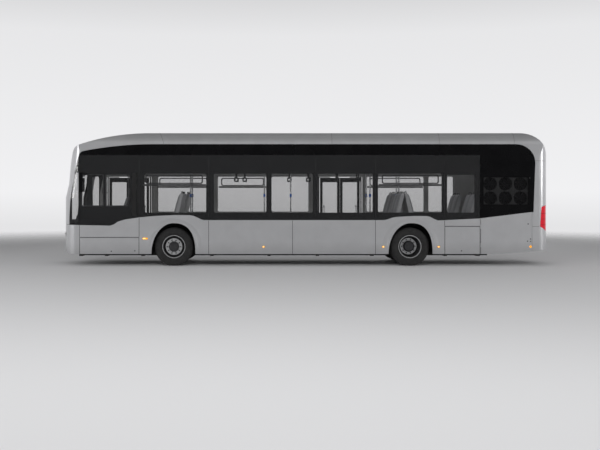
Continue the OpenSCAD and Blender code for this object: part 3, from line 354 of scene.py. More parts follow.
def rect(x0, x1, z0, z1, r, n=6):
    """Outline of a rectangle with round corners, n steps to a corner."""
    out = []
    corners = ((x1 - r, z1 - r, 0), (x0 + r, z1 - r, 90), (x0 + r, z0 + r, 180), (x1 - r, z0 + r, 270))
    for cx, cz, a0 in corners:
        for i in range(n + 1):
            a = math.radians(a0 + 90 * i / n)
            out.append((cx + r * math.cos(a), cz + r * math.sin(a)))
    return out


LEANS = [math.asin(h / NOSE_R) for h in (0.700, 1.250, 1.800)]


def front_x(y, z):
    """Outer front surface of the bus, which leans back in three steps."""
    rise = z - NOSE_Z
    xs = NOSE_R - math.sqrt(NOSE_R ** 2 - max(rise, 0) ** 2)
    xp = PLAN_R - math.sqrt(PLAN_R ** 2 - y * y)
    steps = [NOSE_R * (1 - math.cos(a)) + xp / math.cos(a) + (rise - NOSE_R * math.sin(a)) * math.tan(a)
             for a in LEANS]
    return FX + max(xs, xp, *steps)


def paint(name, *mats, pick=None):
    """Gives a CAD node its materials; pick(centre, normal) chooses one for each face."""
    o = NODE[name]
    o.data.materials.clear()
    for m in mats:
        o.data.materials.append(m)
    for p in o.data.polygons:
        p.material_index = pick(p.center, p.normal) if pick else 0
    smooth(o, 30)
    even = o.modifiers.new("even_normals", "WEIGHTED_NORMAL")
    even.keep_sharp = True
    even.weight = 90
    return o


# CAD nodes
for n in ("front_panel", "skirt_panels", "rear_panels", "roof_fairings", "driver_flap", "rear_flap",
          "service_door", "tail_hatch", "roof_caps"):
    paint(n, PAINT)
for n, m in (("windscreen", SCREEN), ("side_glass", GLASS), ("rear_window", PRIVACY)):
    # the panes lie on their frames, so they are drawn a hair thinner and their inner faces stay visible
    thin = paint(n, m).modifiers.new("clear_of_frame", "DISPLACE")
    thin.strength = -0.0006
    thin.mid_level = 0.0
paint("cantrails", BLACK, LINING, pick=lambda c, n: 1 if abs(c.y) < 1.196 else 0)
paint("service_door_top", BLACK)
paint("mirrors", BLACK)


def inner(c, n):
    """Lining on faces that look into the cabin."""
    return 1 if n.y * c.y < -0.3 and abs(c.y) < 1.2 else 0


for n in ("left_frame", "right_frame"):
    paint(n, PRINT, LINING, pick=inner)
paint("front_frame", PRINT, MATT, pick=lambda c, n: 1 if n.x > 0.3 else 0)
paint("rear_frame", PRINT)
paint("floor", CHASSIS, VINYL, LINING, pick=lambda c, n: 1 if n.z > 0.5
      else (2 if c.z > 0.35 and abs(n.z) < 0.2 and c.x > 0 else 0))
paint("wheelhouses", CHASSIS, LINING,
      pick=lambda c, n: 1 if (n.z > 0.5 and c.z > 1.11) or (abs(c.y) < 0.471 and abs(n.y) > 0.5)
      or (abs(n.x) > 0.5 and min(abs(c.x - AF), abs(c.x - AR)) > 0.6195) else 0)
paint("underframe", CHASSIS)
paint("roof_deck", ROOF, LINING, pick=lambda c, n: 1 if n.z < -0.5 else 0)
paint("roof_units", ROOF)
paint("ceiling", LINING)
paint("headlamps", BLACK)
paint("tail_lamps", RED)
paint("marker_lamps", AMBER)
paint("cooling_fans", PRINT, PLATE, pick=lambda c, n: 1 if n.y < -0.9 and c.y < -1.19 else 0)
paint("battery_blocks", CHASSIS)
paint("dashboard", MATT)
paint("steering_wheel", MATT)
paint("partitions", MATT, LINING, pick=lambda c, n: 1 if c.x > 0 else 0)
paint("seat_shells", SHELL)
paint("handrails", STEEL)
paint("front_axle", CHASSIS)
paint("rear_axle", CHASSIS)
for n in ("knuckle_left", "knuckle_right", "tie_rod"):
    paint(n, IRON)


def rim_face(ax):
    """Bright bolt ring and outer flange; dark nuts and hub, and painted shade in the dish."""
    def pick(c, n):
        r = math.hypot(c.x - ax, c.z - HUB)
        a = math.atan2(c.z - HUB, c.x - ax)
        step = 2 * math.pi / BOLTS
        off = a - step * round(a / step)
        nut = math.hypot(r * math.cos(off) - BOLT_R, r * math.sin(off)) < NUT_R
        if r < HUB_R or nut:
            return 2
        # the dish between disc and flange takes the painted shade
        return 1 if DISC_R <= r < DISH_R else 0
    return pick


for s in ("left", "right"):
    paint("front_rim_" + s, RIM, RIM_SHADE, HUBMAT, pick=rim_face(AF))
    paint("rear_rims_" + s, RIM, RIM_SHADE, HUBMAT, pick=rim_face(AR))
for i in range(1, 5):
    paint("post_%d" % i, MATT)
    paint("leaf_%d" % i, BLACK, GLASS, pick=lambda c, n: 1
          if abs(abs(c.y - LEAF_Y) - 0.006) < 0.002 and abs(n.y) > 0.9 else 0)


# Tyres
def tyre(b, cx, cy):
    """Tyre with ribs, grooves and sidewall rings; profile points are (radius, share of the width)."""
    side = [(0.2865, 0.40), (0.300, 0.432), (0.314, 0.440), (0.318, 0.447), (0.324, 0.448),
            (0.330, 0.462), (0.344, 0.482), (0.360, 0.492), (0.364, 0.489), (0.368, 0.494),
            (0.384, 0.4985), (0.402, 0.498), (0.424, 0.490), (0.428, 0.486), (0.432, 0.488),
            (0.446, 0.472), (0.458, 0.450), (0.468, 0.428), (0.4745, 0.400)]
    tread = []
    ribs = [(-0.39, -0.235), (-0.205, -0.085), (-0.055, 0.055), (0.085, 0.205), (0.235, 0.39)]
    for a, c in ribs:
        tread += [(0.466, a + 0.001), (0.4775, a + 0.008), (0.478, (a + c) / 2), (0.4775, c - 0.008),
                  (0.466, c - 0.001)]
    tread = tread[1:-1]
    left = [(r, -h) for r, h in side]
    prof = [(r, h * TYRE_W) for r, h in left + tread + side[::-1]]
    b.revolve(prof, (cx, cy, HUB), (0, 1, 0), seg=160, closed=True)


for s, sg in (("left", -1), ("right", 1)):
    b = Build()
    tyre(b, AF, sg * FRONT_TYRE_Y)
    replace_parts(b.done("front_tread_" + s, TYRE, "front_wheel_" + s, angle=28), "front_tyre_" + s)
    b = Build()
    for y in REAR_TYRES_Y:
        tyre(b, AR, sg * y)
    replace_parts(b.done("rear_tread_" + s, TYRE, "rear_wheels_" + s, angle=28), "rear_tyres_" + s)


# Side windows
def hopper(b, s, x0, x1, z0, z1):
    """Frame of a tilting upper pane, with a transom under it; s is the side's sign."""
    y0, y1 = s * LET_IN, s * (WALL + 0.004)
    b.ring(rect(x0, x1, z0, z1, 0.055), rect(x0 + 0.030, x1 - 0.030, z0 + 0.028, z1 - 0.028, 0.035), y0, y1)
    b.plate(rect(x0 - 0.07, x1 + 0.07, z0 - 0.052, z0 - 0.006, 0.004, 1), y0, s * (WALL + 0.0012))
    for x in (x0 + 0.16, x1 - 0.16):
        b.plate(rect(x - 0.035, x + 0.035, z0 + 0.004, z0 + 0.030, 0.008, 2), y1, s * (WALL + 0.0065))


for s, bays in ((-1, ((BAY1, BAY2), (BAY5, BAY6))), (1, ((BAY1, BAY2), (BAY2, BAY3), (BAY5, BAY6)))):
    b = Build()
    for x0, x1 in bays:
        hopper(b, s, x0 + 0.155, x1 - 0.145, 2.045, 2.272)
    b.done("hopper_frames_" + ("left" if s < 0 else "right"), MATT, bevel=0.0015)

# dark printing inside the driver's window and the rear quarter panes
b = Build()
b.box((CORNER + 0.060, BAY1 - 0.250), PRINT_Y, (1.328, 1.497))
b.box((-5.00, -4.93), PRINT_Y, (1.49, 2.305))
b.box((CORNER + 0.060, BAY1 - 0.250), PRINT_Y, (2.268, 2.305))
b.box((BAY6 + 0.065, BAY7 - 0.130), PRINT_Y, (2.27, 2.305))
b.done("window_printing", PRINT, angle=0)
b = Build()
b.box((-4.286, -4.182), (-WALL - LIP, -WALL + 0.001), (1.260, 2.328))
b.done("driver_pillar_cover", RUBBER, angle=0)
b = Build()
for x in (BAY1, BAY2, BAY3, BAY4, BAY5, BAY6):
    b.box((x - 0.003, x + 0.003), (-WALL - 0.0007, -WALL + 0.001), (1.220, 2.735))
b.done("pane_joints", PLATE, angle=0)

# sliding part of the driver's window
b = Build()
for x0, x1 in ((-5.56, -4.99), (-4.965, -4.372)):
    b.ring(rect(x0, x1, 1.485, 2.285, 0.05), rect(x0 + 0.025, x1 - 0.025, 1.51, 2.26, 0.035),
           -LET_IN, -WALL - 0.003)
b.box((-5.035, -5.020), (-WALL - 0.007, -LET_IN), (1.80, 1.95))
b.done("driver_window_frame", MATT, bevel=0.0012)

# Fan opening
FAN_X, FAN_Z = (BAY7 + 0.080, TAIL - 0.082), (1.528, 2.214)
b = Build()
b.ring(rect(FAN_X[0] - 0.02, FAN_X[1] + 0.02, FAN_Z[0] - 0.02, FAN_Z[1] + 0.02, 0.045),
       rect(FAN_X[0] + 0.004, FAN_X[1] - 0.004, FAN_Z[0] + 0.004, FAN_Z[1] - 0.004, 0.022),
       -LET_IN, -WALL - 0.0035)
b.done("fan_opening_frame", BLACK, "service_door", bevel=0.0015)
b = Build()
# two layers of wire on three bars: wires across and up, half widths, the bars' depth
nx, nz = 76, 46
WIRE, BAR = 0.0006, 0.008
BAR_Y = (-1.2570, -1.2520)
MID_Z = (FAN_Z[0] + FAN_Z[1]) / 2
for i in range(1, nx):
    x = FAN_X[0] + (FAN_X[1] - FAN_X[0]) * i / nx
    b.box((x - WIRE, x + WIRE), (-1.2600, -1.2575), FAN_Z)
for i in range(1, nz):
    z = FAN_Z[0] + (FAN_Z[1] - FAN_Z[0]) * i / nz
    b.box(FAN_X, (-1.2580, -1.2555), (z - WIRE, z + WIRE))
for i in (1, 2):
    x = FAN_X[0] + (FAN_X[1] - FAN_X[0]) * i / 3
    b.box((x - BAR, x + BAR), BAR_Y, FAN_Z)
b.box(FAN_X, BAR_Y, (MID_Z - BAR, MID_Z + BAR))
b.done("fan_mesh", MATT, "service_door", angle=0)
# cooler core behind the fans
b = Build()
b.box((FAN_X[0] - 0.05, FAN_X[1] + 0.05), (-1.0745, -1.0620), (FAN_Z[0] - 0.05, FAN_Z[1] + 0.05))
for i in range(24):
    z = FAN_Z[0] - 0.04 + (FAN_Z[1] - FAN_Z[0] + 0.08) * (i + 0.5) / 24
    b.box((FAN_X[0] - 0.03, FAN_X[1] + 0.03), (-1.0625, -1.0590), (z - 0.008, z + 0.008))
b.done("cooler_core", PRINT, angle=0)
# lining that closes the equipment bay towards the cabin, with pressed ribs
b = Build()
for z in ((0.735, FAN_Z[0] - 0.052), (FAN_Z[1] + 0.052, 2.285)):
    b.box((BAY7 + 0.070, TAIL - 0.060), (-1.0740, -1.0640), z)
    for i in range(9):
        x = BAY7 + 0.070 + (TAIL - BAY7 - 0.130) * (i + 0.5) / 9
        b.box((x - 0.030, x + 0.030), (-1.0790, -1.0735), (z[0] + 0.03, z[1] - 0.03))
b.done("bay_lining", MATT, bevel=0.002)

# bright middles of the amber lamps, one or two on each lamp's outer face
b = Build()
for s in (-1, 1):
    xs = sorted((v.co.x, v.co.z) for v in NODE["marker_lamps"].data.vertices if v.co.y * s > WALL + 0.004)
    lamps = [[xs[0]]]
    for v in xs[1:]:
        if v[0] - lamps[-1][-1][0] > 0.3:
            lamps.append([])
        lamps[-1].append(v)
    for lamp in lamps:
        x0, x1 = lamp[0][0], lamp[-1][0]
        z = (min(v[1] for v in lamp) + max(v[1] for v in lamp)) / 2
        for x in ((x0 + x1) / 2,) if x1 - x0 < 0.08 else (x0 + 0.030, x0 + 0.062):
            b.revolve([(0.0, 0.006), (0.008, 0.0055), (0.014, 0.003), (0.016, -0.0005), (0.0, -0.0005)],
                      (x, s * (WALL + 0.006), z), (0, s, 0), 24)
b.done("marker_cores", GLOW)

# hinge covers on the service door's front edge, locks on the flaps
b = Build()
for z in (0.52, 0.98):
    b.plate(rect(BAY7 + 0.014, BAY7 + 0.044, z - 0.045, z + 0.045, 0.008, 3), -WALL, -WALL - 0.0035)
b.done("service_door_hinge_covers", PAINT, "service_door", bevel=0.001)


def lock(b, x, z):
    """Square-key lock in the left wall, of radius r."""
    r = 0.016
    b.revolve([(0.0, 0.0035), (r * 0.35, 0.0035), (r * 0.4, 0.0022), (r * 0.9, 0.0026), (r, 0.0015),
               (r, -0.0004), (0.0, -0.0004)], (x, -WALL, z), (0, -1, 0), seg=20)


for name, body, spots in (("driver_flap_locks", "driver_flap", ((-4.806, 0.37), (-4.221, 0.38))),
                          ("rear_flap_locks", "rear_flap", ((3.905, 0.38),)),
                          ("service_door_locks", "service_door",
                           ((5.560, 1.048), (5.545, 0.620), (5.622, 0.675), (5.622, 0.615),
                            (TAIL - 0.06, 2.19)))):
    b = Build()
    for x, z in spots:
        lock(b, x, z)
    b.done(name, IRON, body)

b = Build()
b.revolve([(0.0, 0.007), (0.020, 0.0065), (0.028, 0.004), (0.031, 0.0), (0.0, -0.0004)],
          (5.622, -WALL, 0.483), (0, -1, 0), 28)
b.done("service_door_reflector", AMBER, "service_door")

# black rubber along the panel joints, from the skirts' lower edge
LOW = 0.302
MID = BAY2 + (BAY5 - BAY2) * 0.5025
b = Build()
for x, z0, z1 in ((CORNER, 0.728, 1.022), (BAY1, 0.728, 1.200), (BAY2, LOW, 1.130),
                  (MID, LOW, 1.130), (BAY5, LOW, 1.160), (BAY6, 1.003, 1.130)):
    b.box((x - 0.005, x + 0.005), (-WALL - LIP, -WALL + 0.006), (z0, z1))
for x, z0, z1 in ((CORNER, LOW, 1.022), (BAY1 + 0.060, LOW, 1.205), (BAY2, LOW, 1.130),
                  (BAY5, LOW, 1.160), (BAY6, 0.402, 1.130), (BAY7, LOW, 1.170)):
    b.box((x - 0.005, x + 0.005), (WALL - 0.006, WALL + LIP), (z0, z1))
b.box((TAIL + 0.012, RX - 0.236), (-WALL - LIP, -WALL + 0.004), (0.984, 0.990))
b.done("joint_rubbers", RUBBER, angle=0)
for name, x0, x1, z1 in (("driver_flap", CORNER, BAY1, 0.712), ("rear_flap", BAY6, BAY7, 0.986)):
    b = Build()
    for x in (x0 + 0.0035, x1 - 0.0105):
        b.box((x, x + 0.007), (-WALL - LIP, -WALL + 0.003), (LOW, z1))
    b.box((x0 + 0.011, x1 - 0.011), (-WALL - LIP, -WALL + 0.003), (z1 - 0.009, z1))
    b.done(name + "_rubber", RUBBER, name, angle=0)
b = Build()
for z0, z1 in ((LOW, 0.470), (0.570, 0.930), (1.030, 1.170)):
    b.box((BAY7 + 0.0105, BAY7 + 0.0185), (-WALL - LIP, -WALL + 0.003), (z0, z1))
b.done("service_door_rubber", RUBBER, "service_door", angle=0)


# Seats
def cushion(b, mid, size, crown, turn, seg=(9, 9)):
    """Crowned pad: size (length, width, thickness), tilted by turn degrees about Y; flat underneath."""
    r = Matrix.Rotation(math.radians(turn), 3, "Y")
    l, w, t = size
    nu, nv = seg
    top, low = [], []
    for i in range(nu + 1):
        for j in range(nv + 1):
            u, v = 2 * i / nu - 1, 2 * j / nv - 1
            e = (1 - u ** 6) * (1 - v ** 6)
            h = t * (0.45 + 0.55 * e ** 0.5) + crown * (1 - u * u) * (1 - v * v)
            for c in (-0.42, 0.42):
                h -= 0.006 * math.exp(-((v - c) / 0.05) ** 2) * e
            h -= 0.005 * math.exp(-((u - 0.55) / 0.06) ** 2) * e
            x = u * l / 2 * (1 - 0.02 * (1 - v * v) * abs(u) ** 8)
            y = v * w / 2 * (1 - 0.02 * (1 - u * u) * abs(v) ** 8)
            top.append(Vector(mid) + r @ Vector((x, y, h)))
            low.append(Vector(mid) + r @ Vector((x, y, 0)))
    n = nv + 1
    fs = []
    m = len(top)
    for i in range(nu):
        for j in range(nv):
            a, c = i * n + j, (i + 1) * n + j
            fs.append((a, c, c + 1, a + 1))
            fs.append((m + a, m + a + 1, m + c + 1, m + c))
    for i in range(nu):
        a, c = i * n, (i + 1) * n
        fs.append((a, m + a, m + c, c))
        fs.append((a + nv, c + nv, m + c + nv, m + a + nv))
    for j in range(nv):
        fs.append((j, j + 1, m + j + 1, m + j))
        a = nu * n + j
        fs.append((a, m + a, m + a + 1, a + 1))
    b.put(top + low, fs)


# Seat rows: x, side, height of the floor under them, facing
HOUSE = 1.120 - 0.380
REARF = 0.720
ROWS = [(AF + 0.060, -1, HOUSE, 1), (AF + 0.060, 1, HOUSE, 1),
        (AR - 0.312, -1, HOUSE, 1), (AR + 0.048, -1, HOUSE, -1),
        (AR - 0.312, 1, HOUSE, 1), (AR + 0.048, 1, HOUSE, -1),
        (BAY7 - 0.190, -1, REARF, 1), (BAY7 - 0.270, 1, REARF, 1),
        (BAY7 + 0.560, -1, REARF, 1), (BAY7 + 0.520, 1, REARF, 1)]


def seat_places():
    """Two seats to a row: x, y, floor height and facing of each."""
    for x, s, z, face in ROWS:
        out = 0.140 if (s < 0 and x > BAY7) else 0.030
        for k in (0, 1):
            yield x, s * (1.195 - out - 0.220 - k * 0.450), z, -face


pads = Build()
trims = Build()
for x, y, z, f in seat_places():
    tilt = math.degrees(math.atan2(0.030, 0.390))
    cushion(pads, (x + f * 0.255, y, z + 0.4560), (0.385, 0.395, 0.038), 0.012, f * tilt)
    lean = math.degrees(math.atan2(0.160, 0.590))
    mid = (x + f * (-0.020), y, z + 0.768)
    cushion(pads, mid, (0.575, 0.395, 0.036), 0.014, f * (90 - lean), (12, 9))
    top = z + 1.062
    grip = ((0.125, -0.13, -0.01), (0.128, -0.13, 0.030), (0.128, -0.10, 0.052),
            (0.128, 0.10, 0.052), (0.128, 0.13, 0.030), (0.125, 0.13, -0.01))
    trims.tube([(x - f * dx, y + dy, top + dz) for dx, dy, dz in grip], 0.012, 10)
o = pads.done("seat_cushions", CLOTH, angle=60)
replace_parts(o, "seat_pads")
trims.done("seat_grips", MATT)

# Rails, buttons, handles
POLES = [(AF + 0.330, -RAIL_Y), (AF + 0.330, RAIL_Y), (BAY3 - 0.120, -0.450), (BAY3 + 0.560, -0.450),
         (BAY4 + 0.060, 0.430), (BAY5 - 0.040, 0.430), (BAY5 - 0.040, -0.450),
         (AR - 0.132, RAIL_Y), (AR - 0.132, -RAIL_Y)]
COLLAR = [(0.017, 0.0), (0.034, 0.0), (0.034, 0.006), (0.019, 0.022), (0.017, 0.022)]
b, buttons = Build(), Build()
for x, y in POLES:
    b.box((x - 0.026, x + 0.026), (y - 0.028, y + 0.028), (1.725, 1.805), 1)
    towards = 1 if y < 0 else -1
    buttons.revolve([(0.0, 0.012), (0.012, 0.012), (0.017, 0.009), (0.019, 0.0), (0.0, 0.0)],
                    (x, y + towards * 0.028, 1.765), (0, towards, 0), 20)
    for z, up in ((FLOOR, 1), (CEIL, -1)):
        b.revolve(COLLAR, (x, y, z), (0, 0, up), 20)
b.done("pole_fittings", MATT, bevel=0.004, mats=[MATT, BLUE])
buttons.done("stop_buttons", LINING)
b = Build()
for s in (-1, 1):
    b.tube([(BAY2 - 0.2, s * RAIL_Y, RAIL_Z), (AR + 0.55, s * RAIL_Y, RAIL_Z)], 0.016, 12)
    for x in (BAY2 - 0.15, BAY3, BAY4, BAY5 - 0.2, AR + 0.5):
        b.tube([(x, s * RAIL_Y, RAIL_Z), (x, s * RAIL_Y, CEIL)], 0.012, 10)
b.done("ceiling_rails", STEEL)
b = Build()
for s in (-1, 1):
    for x in (-1.75, -1.53, -0.35, 0.15, 0.9, 1.45):
        y = s * RAIL_Y
        b.box((x - 0.016, x + 0.016), (y - 0.019, y + 0.019), (2.235, 2.382))
        b.ring(rect(x - 0.054, x + 0.054, 2.13, 2.24, 0.016, 3),
               rect(x - 0.032, x + 0.032, 2.156, 2.214, 0.010, 3), y - 0.010, y + 0.010)
b.done("hand_loops", MATT, bevel=0.003)
# light strips along the ceiling
b = Build()
for s in (-1, 1):
    b.box((BAY1 + 0.1, RX - 0.7), (s * 0.70 - 0.05, s * 0.70 + 0.05), (CEIL - 0.012, CEIL - 0.0005))
b.done("ceiling_lights", LIGHTSTRIP, bevel=0.004)

# Driver's place: the seat's middle and the platform's height
DX, DY, DZ = BAY1 - 0.430, -0.640, 0.620
b = Build()
cushion(b, (DX - 0.255, DY, DZ + 0.458), (0.46, 0.49, 0.075), 0.020, -3.5, (10, 10))
cushion(b, (DX + 0.022, DY, DZ + 0.800), (0.66, 0.47, 0.070), 0.024, -(90 - 15.2), (14, 10))
cushion(b, (DX + 0.135, DY, DZ + 1.235), (0.20, 0.30, 0.070), 0.020, -(90 - 9), (8, 8))
for s in (-1, 1):
    b.loft([[Vector((x, DY + s * y, DZ + z)) for x, z in prof] for y, prof in (
        (0.235, [(DX - 0.44, 0.36), (DX + 0.02, 0.36), (DX + 0.06, 0.47), (DX - 0.47, 0.45)]),
        (0.262, [(DX - 0.43, 0.37), (DX + 0.01, 0.37), (DX + 0.05, 0.455), (DX - 0.46, 0.435)]))], 1)
    b.tube([(DX + 0.03, DY + s * 0.275, DZ + 0.70), (DX - 0.05, DY + s * 0.282, DZ + 0.705),
            (DX - 0.26, DY + s * 0.282, DZ + 0.700)], [0.022, 0.026, 0.020], 12, 1)
b.box((DX - 0.45, DX + 0.04), (DY - 0.24, DY + 0.24), (DZ + 0.385, DZ + 0.457), 1)
b.loft([[Vector((DX + x + d, DY + y * w, DZ + z)) for y, d in ((-1, 0), (-1, 0.05), (1, 0.05), (1, 0))]
        for x, w, z in ((0.0, 0.235, 0.46), (0.055, 0.24, 0.75), (0.12, 0.21, 1.08))], 1)
b.box((DX + 0.16, DX + 0.20), (DY - 0.11, DY + 0.11), (DZ + 1.03, DZ + 1.32), 1)
# folding boot of the seat's base
SQUARE = ((-1, -1), (1, -1), (1, 1), (-1, 1))
b.loft([[Vector((DX - 0.19 + sx * w, DY + sy * w, DZ + z)) for sx, sy in SQUARE]
        for z, w in ((0.0, 0.16), (0.03, 0.15), (0.06, 0.12), (0.14, 0.135), (0.17, 0.115), (0.25, 0.13),
                     (0.28, 0.11), (0.386, 0.14))], 1)
o = b.done("driver_seat_upholstery", CLOTH, angle=50, mats=[CLOTH, MATT])
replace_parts(o, "driver_seat")

# instrument hood, screen and switch panel on the dashboard, whose rear edge is near SX
b = Build()
SX = FX + 0.52
b.loft([[Vector((x, DY + y, z)) for y in (-0.34, 0.34)]
        + [Vector((x + 0.16, DY + y, z - 0.02)) for y in (0.30, -0.30)]
        for x, z in ((SX - 0.22, 1.13), (SX - 0.18, 1.27))])
b.box((SX - 0.15, SX - 0.11), (DY + 0.40, DY + 0.68), (1.17, 1.36), 0, ("Y", -18))
b.box((SX - 0.10, SX - 0.02), (DY + 0.40, DY + 0.75), (1.05, 1.165), 0)
b.done("dashboard_hood", MATT, bevel=0.012)
b = Build()
b.box((SX - 0.1085, SX - 0.1065), (DY + 0.415, DY + 0.665), (1.185, 1.345), 0, ("Y", -18))
b.done("dashboard_screen", BLACK, angle=0)

# Doors: each leaf's seals and its grip; d points from the post to the leaf's free edge
for i in range(4):
    d = 1 if i % 2 == 0 else -1
    a0, a1 = ((DOORS[0], BAY1 - 0.055), (DOORS[1], BAY5 - 0.055))[i // 2]
    px = a0 + 0.035 if d > 0 else a1 - 0.035
    arm = ((a1 - a0) / 2 - 0.035) / 2
    xa, xb = px + d * 0.035, px + d * (2 * arm - 0.004)
    x0, x1 = min(xa, xb), max(xa, xb)
    z0, z1 = LEAF_Z
    b = Build()
    b.ring(rect(x0 + 0.052, x1 - 0.052, z0 + 0.102, z1 - 0.102, 0.036),
           rect(x0 + 0.074, x1 - 0.074, z0 + 0.124, z1 - 0.124, 0.022), 1.2622, 1.2640)
    e = xb - d * 0.0008
    b.box((min(e, e + d * 0.0016), max(e, e + d * 0.0016)), (1.2245, 1.2595), (z0 + 0.004, z1 - 0.004))
    b.done("leaf_%d_seals" % (i + 1), RUBBER, "leaf_%d" % (i + 1), bevel=0.0006)
    b = Build()
    xm = x0 + 0.11 if d > 0 else x1 - 0.11
    b.tube([(xm, LEAF_INSIDE, 1.02), (xm, 1.190, 1.035), (xm, 1.178, 1.06), (xm, 1.178, 1.44),
            (xm, 1.190, 1.465), (xm, LEAF_INSIDE, 1.48)], 0.0125, 12)
    for z in (1.02, 1.48):
        b.revolve([(0.0, 0.004), (0.021, 0.004), (0.025, 0.0), (0.0, 0.0)],
                  (xm, LEAF_INSIDE, z), (0, -1, 0), 18)
    b.done("leaf_%d_grip" % (i + 1), STEEL, "leaf_%d" % (i + 1))


# Front
def front_sheet(b, y0, y1, z0, z1, out, thick, ny, nz):
    """Curved sheet that follows the front; out is its outer face before the panel surface."""
    rings = []
    for i in range(nz + 1):
        z = z0 + (z1 - z0) * i / nz
        row = [Vector((front_x(y0 + (y1 - y0) * j / ny, z) - out, y0 + (y1 - y0) * j / ny, z))
               for j in range(ny + 1)]
        back = [v + Vector((thick, 0, 0)) for v in row[::-1]]
        rings.append(row + back)
    b.loft(rings)


# wipers
b = Build()
for y0, y1 in ((-0.62, -0.06), (0.62, 0.06)):
    p = [(front_x(y0, 1.09) - 0.004, y0, 1.085), (front_x(y0, 1.12) - 0.040, y0, 1.12),
         (front_x(y0 * 0.9, 1.3) - 0.036, y0 * 0.96, 1.30),
         (front_x(y0 * 0.85, 1.62) - 0.026, y0 * 0.88, 1.62)]
    b.tube(p, [0.014, 0.013, 0.010, 0.007], 8)
    b.tube([(front_x(y0 * 0.9, z) - 0.012, y0 * 0.88 + (z - 1.62) * 0.12 * (1 if y0 > 0 else -1), z)
            for z in (1.16, 1.3, 1.45, 1.62, 1.8, 2.0, 2.1)], 0.007, 6)
    b.revolve([(0.0, 0.022), (0.018, 0.022), (0.026, 0.010), (0.028, 0.0), (0.0, 0.0)],
              (front_x(y0, 1.09) - 0.001, y0, 1.088), (-1, 0, 0), 18)
b.done("wipers", MATT)

# blank display behind the windscreen
b = Build()
front_sheet(b, -0.82, 0.82, 2.47, 2.75, -0.075, 0.09, 12, 4)
b.done("display_case", MATT, bevel=0.004)
b = Build()
front_sheet(b, -0.78, 0.78, 2.50, 2.72, -0.0735, 0.004, 12, 4)
b.done("display_face", BLACK)

# lower intake with slats and parking sensors
b = Build()
for i in range(5):
    z = 0.475 + 0.028 * i
    front_sheet(b, -0.52, 0.52, z, z + 0.012, 0.005, 0.004, 12, 1)
b.done("front_slats", MATT, bevel=0.001)
b = Build()
for y in (-0.86, -0.42, 0.42, 0.86):
    b.revolve([(0.0, 0.002), (0.010, 0.002), (0.011, 0.0005), (0.014, 0.0008), (0.0145, -0.003),
               (0.0, -0.003)], (front_x(y, 0.42), y, 0.42 if abs(y) < 0.5 else 0.44), (-1, 0, 0), 18)
b.done("parking_sensors", MATT)

# lamp units in the headlamps
b = Build()
for s in (-1, 1):
    for y, r in ((0.720, 0.050), (0.845, 0.050), (0.965, 0.040)):
        x = front_x(s * y, LAMP_Z)
        past = (y - WALL + NOSE_CORNER_R) / NOSE_CORNER_R
        if past > 0:
            x = max(x, FX + NOSE_CORNER_R * (1 - math.cos(math.asin(past))))
        b.revolve([(r, -0.004), (r, 0.004), (r * 0.92, 0.0055), (r * 0.86, 0.002), (r * 0.80, -0.002)],
                  (x, s * y, LAMP_Z), (-1, 0, 0), 32)
        b.revolve([(r * 0.80, -0.002), (r * 0.72, 0.001), (r * 0.5, 0.0045), (r * 0.25, 0.006),
                   (0.0, 0.0065)], (x, s * y, LAMP_Z), (-1, 0, 0), 32, 1)
b.done("headlamp_units", STEEL, mats=[STEEL, LENS])

# Rear
b = Build()
for i in range(13):
    z = 0.72 + 0.030 * i
    b.box((RX - 0.004, RX + 0.006), (-0.62, 0.62), (z, z + 0.010), 0, ("Y", 22))
start = len(b.verts)
b.ring(rect(-0.64, 0.64, 0.70, 1.12, 0.02), rect(-0.625, 0.625, 0.715, 1.105, 0.012),
       RX - 0.001, RX + 0.004)
b.turn(start, lambda v: Vector((v.y, v.x, v.z)))
b.done("hatch_louvres", MATT, "tail_hatch", bevel=0.001)
b = Build()
for y in (-0.80, 0.80):
    b.revolve([(0.0, 0.004), (0.014, 0.004), (0.018, 0.0), (0.0, -0.001)], (RX, y, 0.66), (1, 0, 0), 20)
b.box((RX - 0.001, RX + 0.014), (-0.10, 0.10), (0.585, 0.615))
b.done("hatch_locks", IRON, "tail_hatch", bevel=0.003)
# lamp divisions on the tail lamps
b = Build()
r = TAIL_R + 0.0005
for s in (-1, 1):
    for z in (1.03, 1.17, 1.31):
        pts = [(RX + 0.0005, s * (0.925 + 0.11 * j / 4), z) for j in range(5)]
        for k in range(1, 8):
            a = math.radians(11.9 * k)
            pts.append((RX - TAIL_R + r * math.cos(a), s * (WALL - TAIL_R + r * math.sin(a)), z))
        b.tube(pts, 0.003, 6)
b.done("tail_lamp_ribs", BLACK)

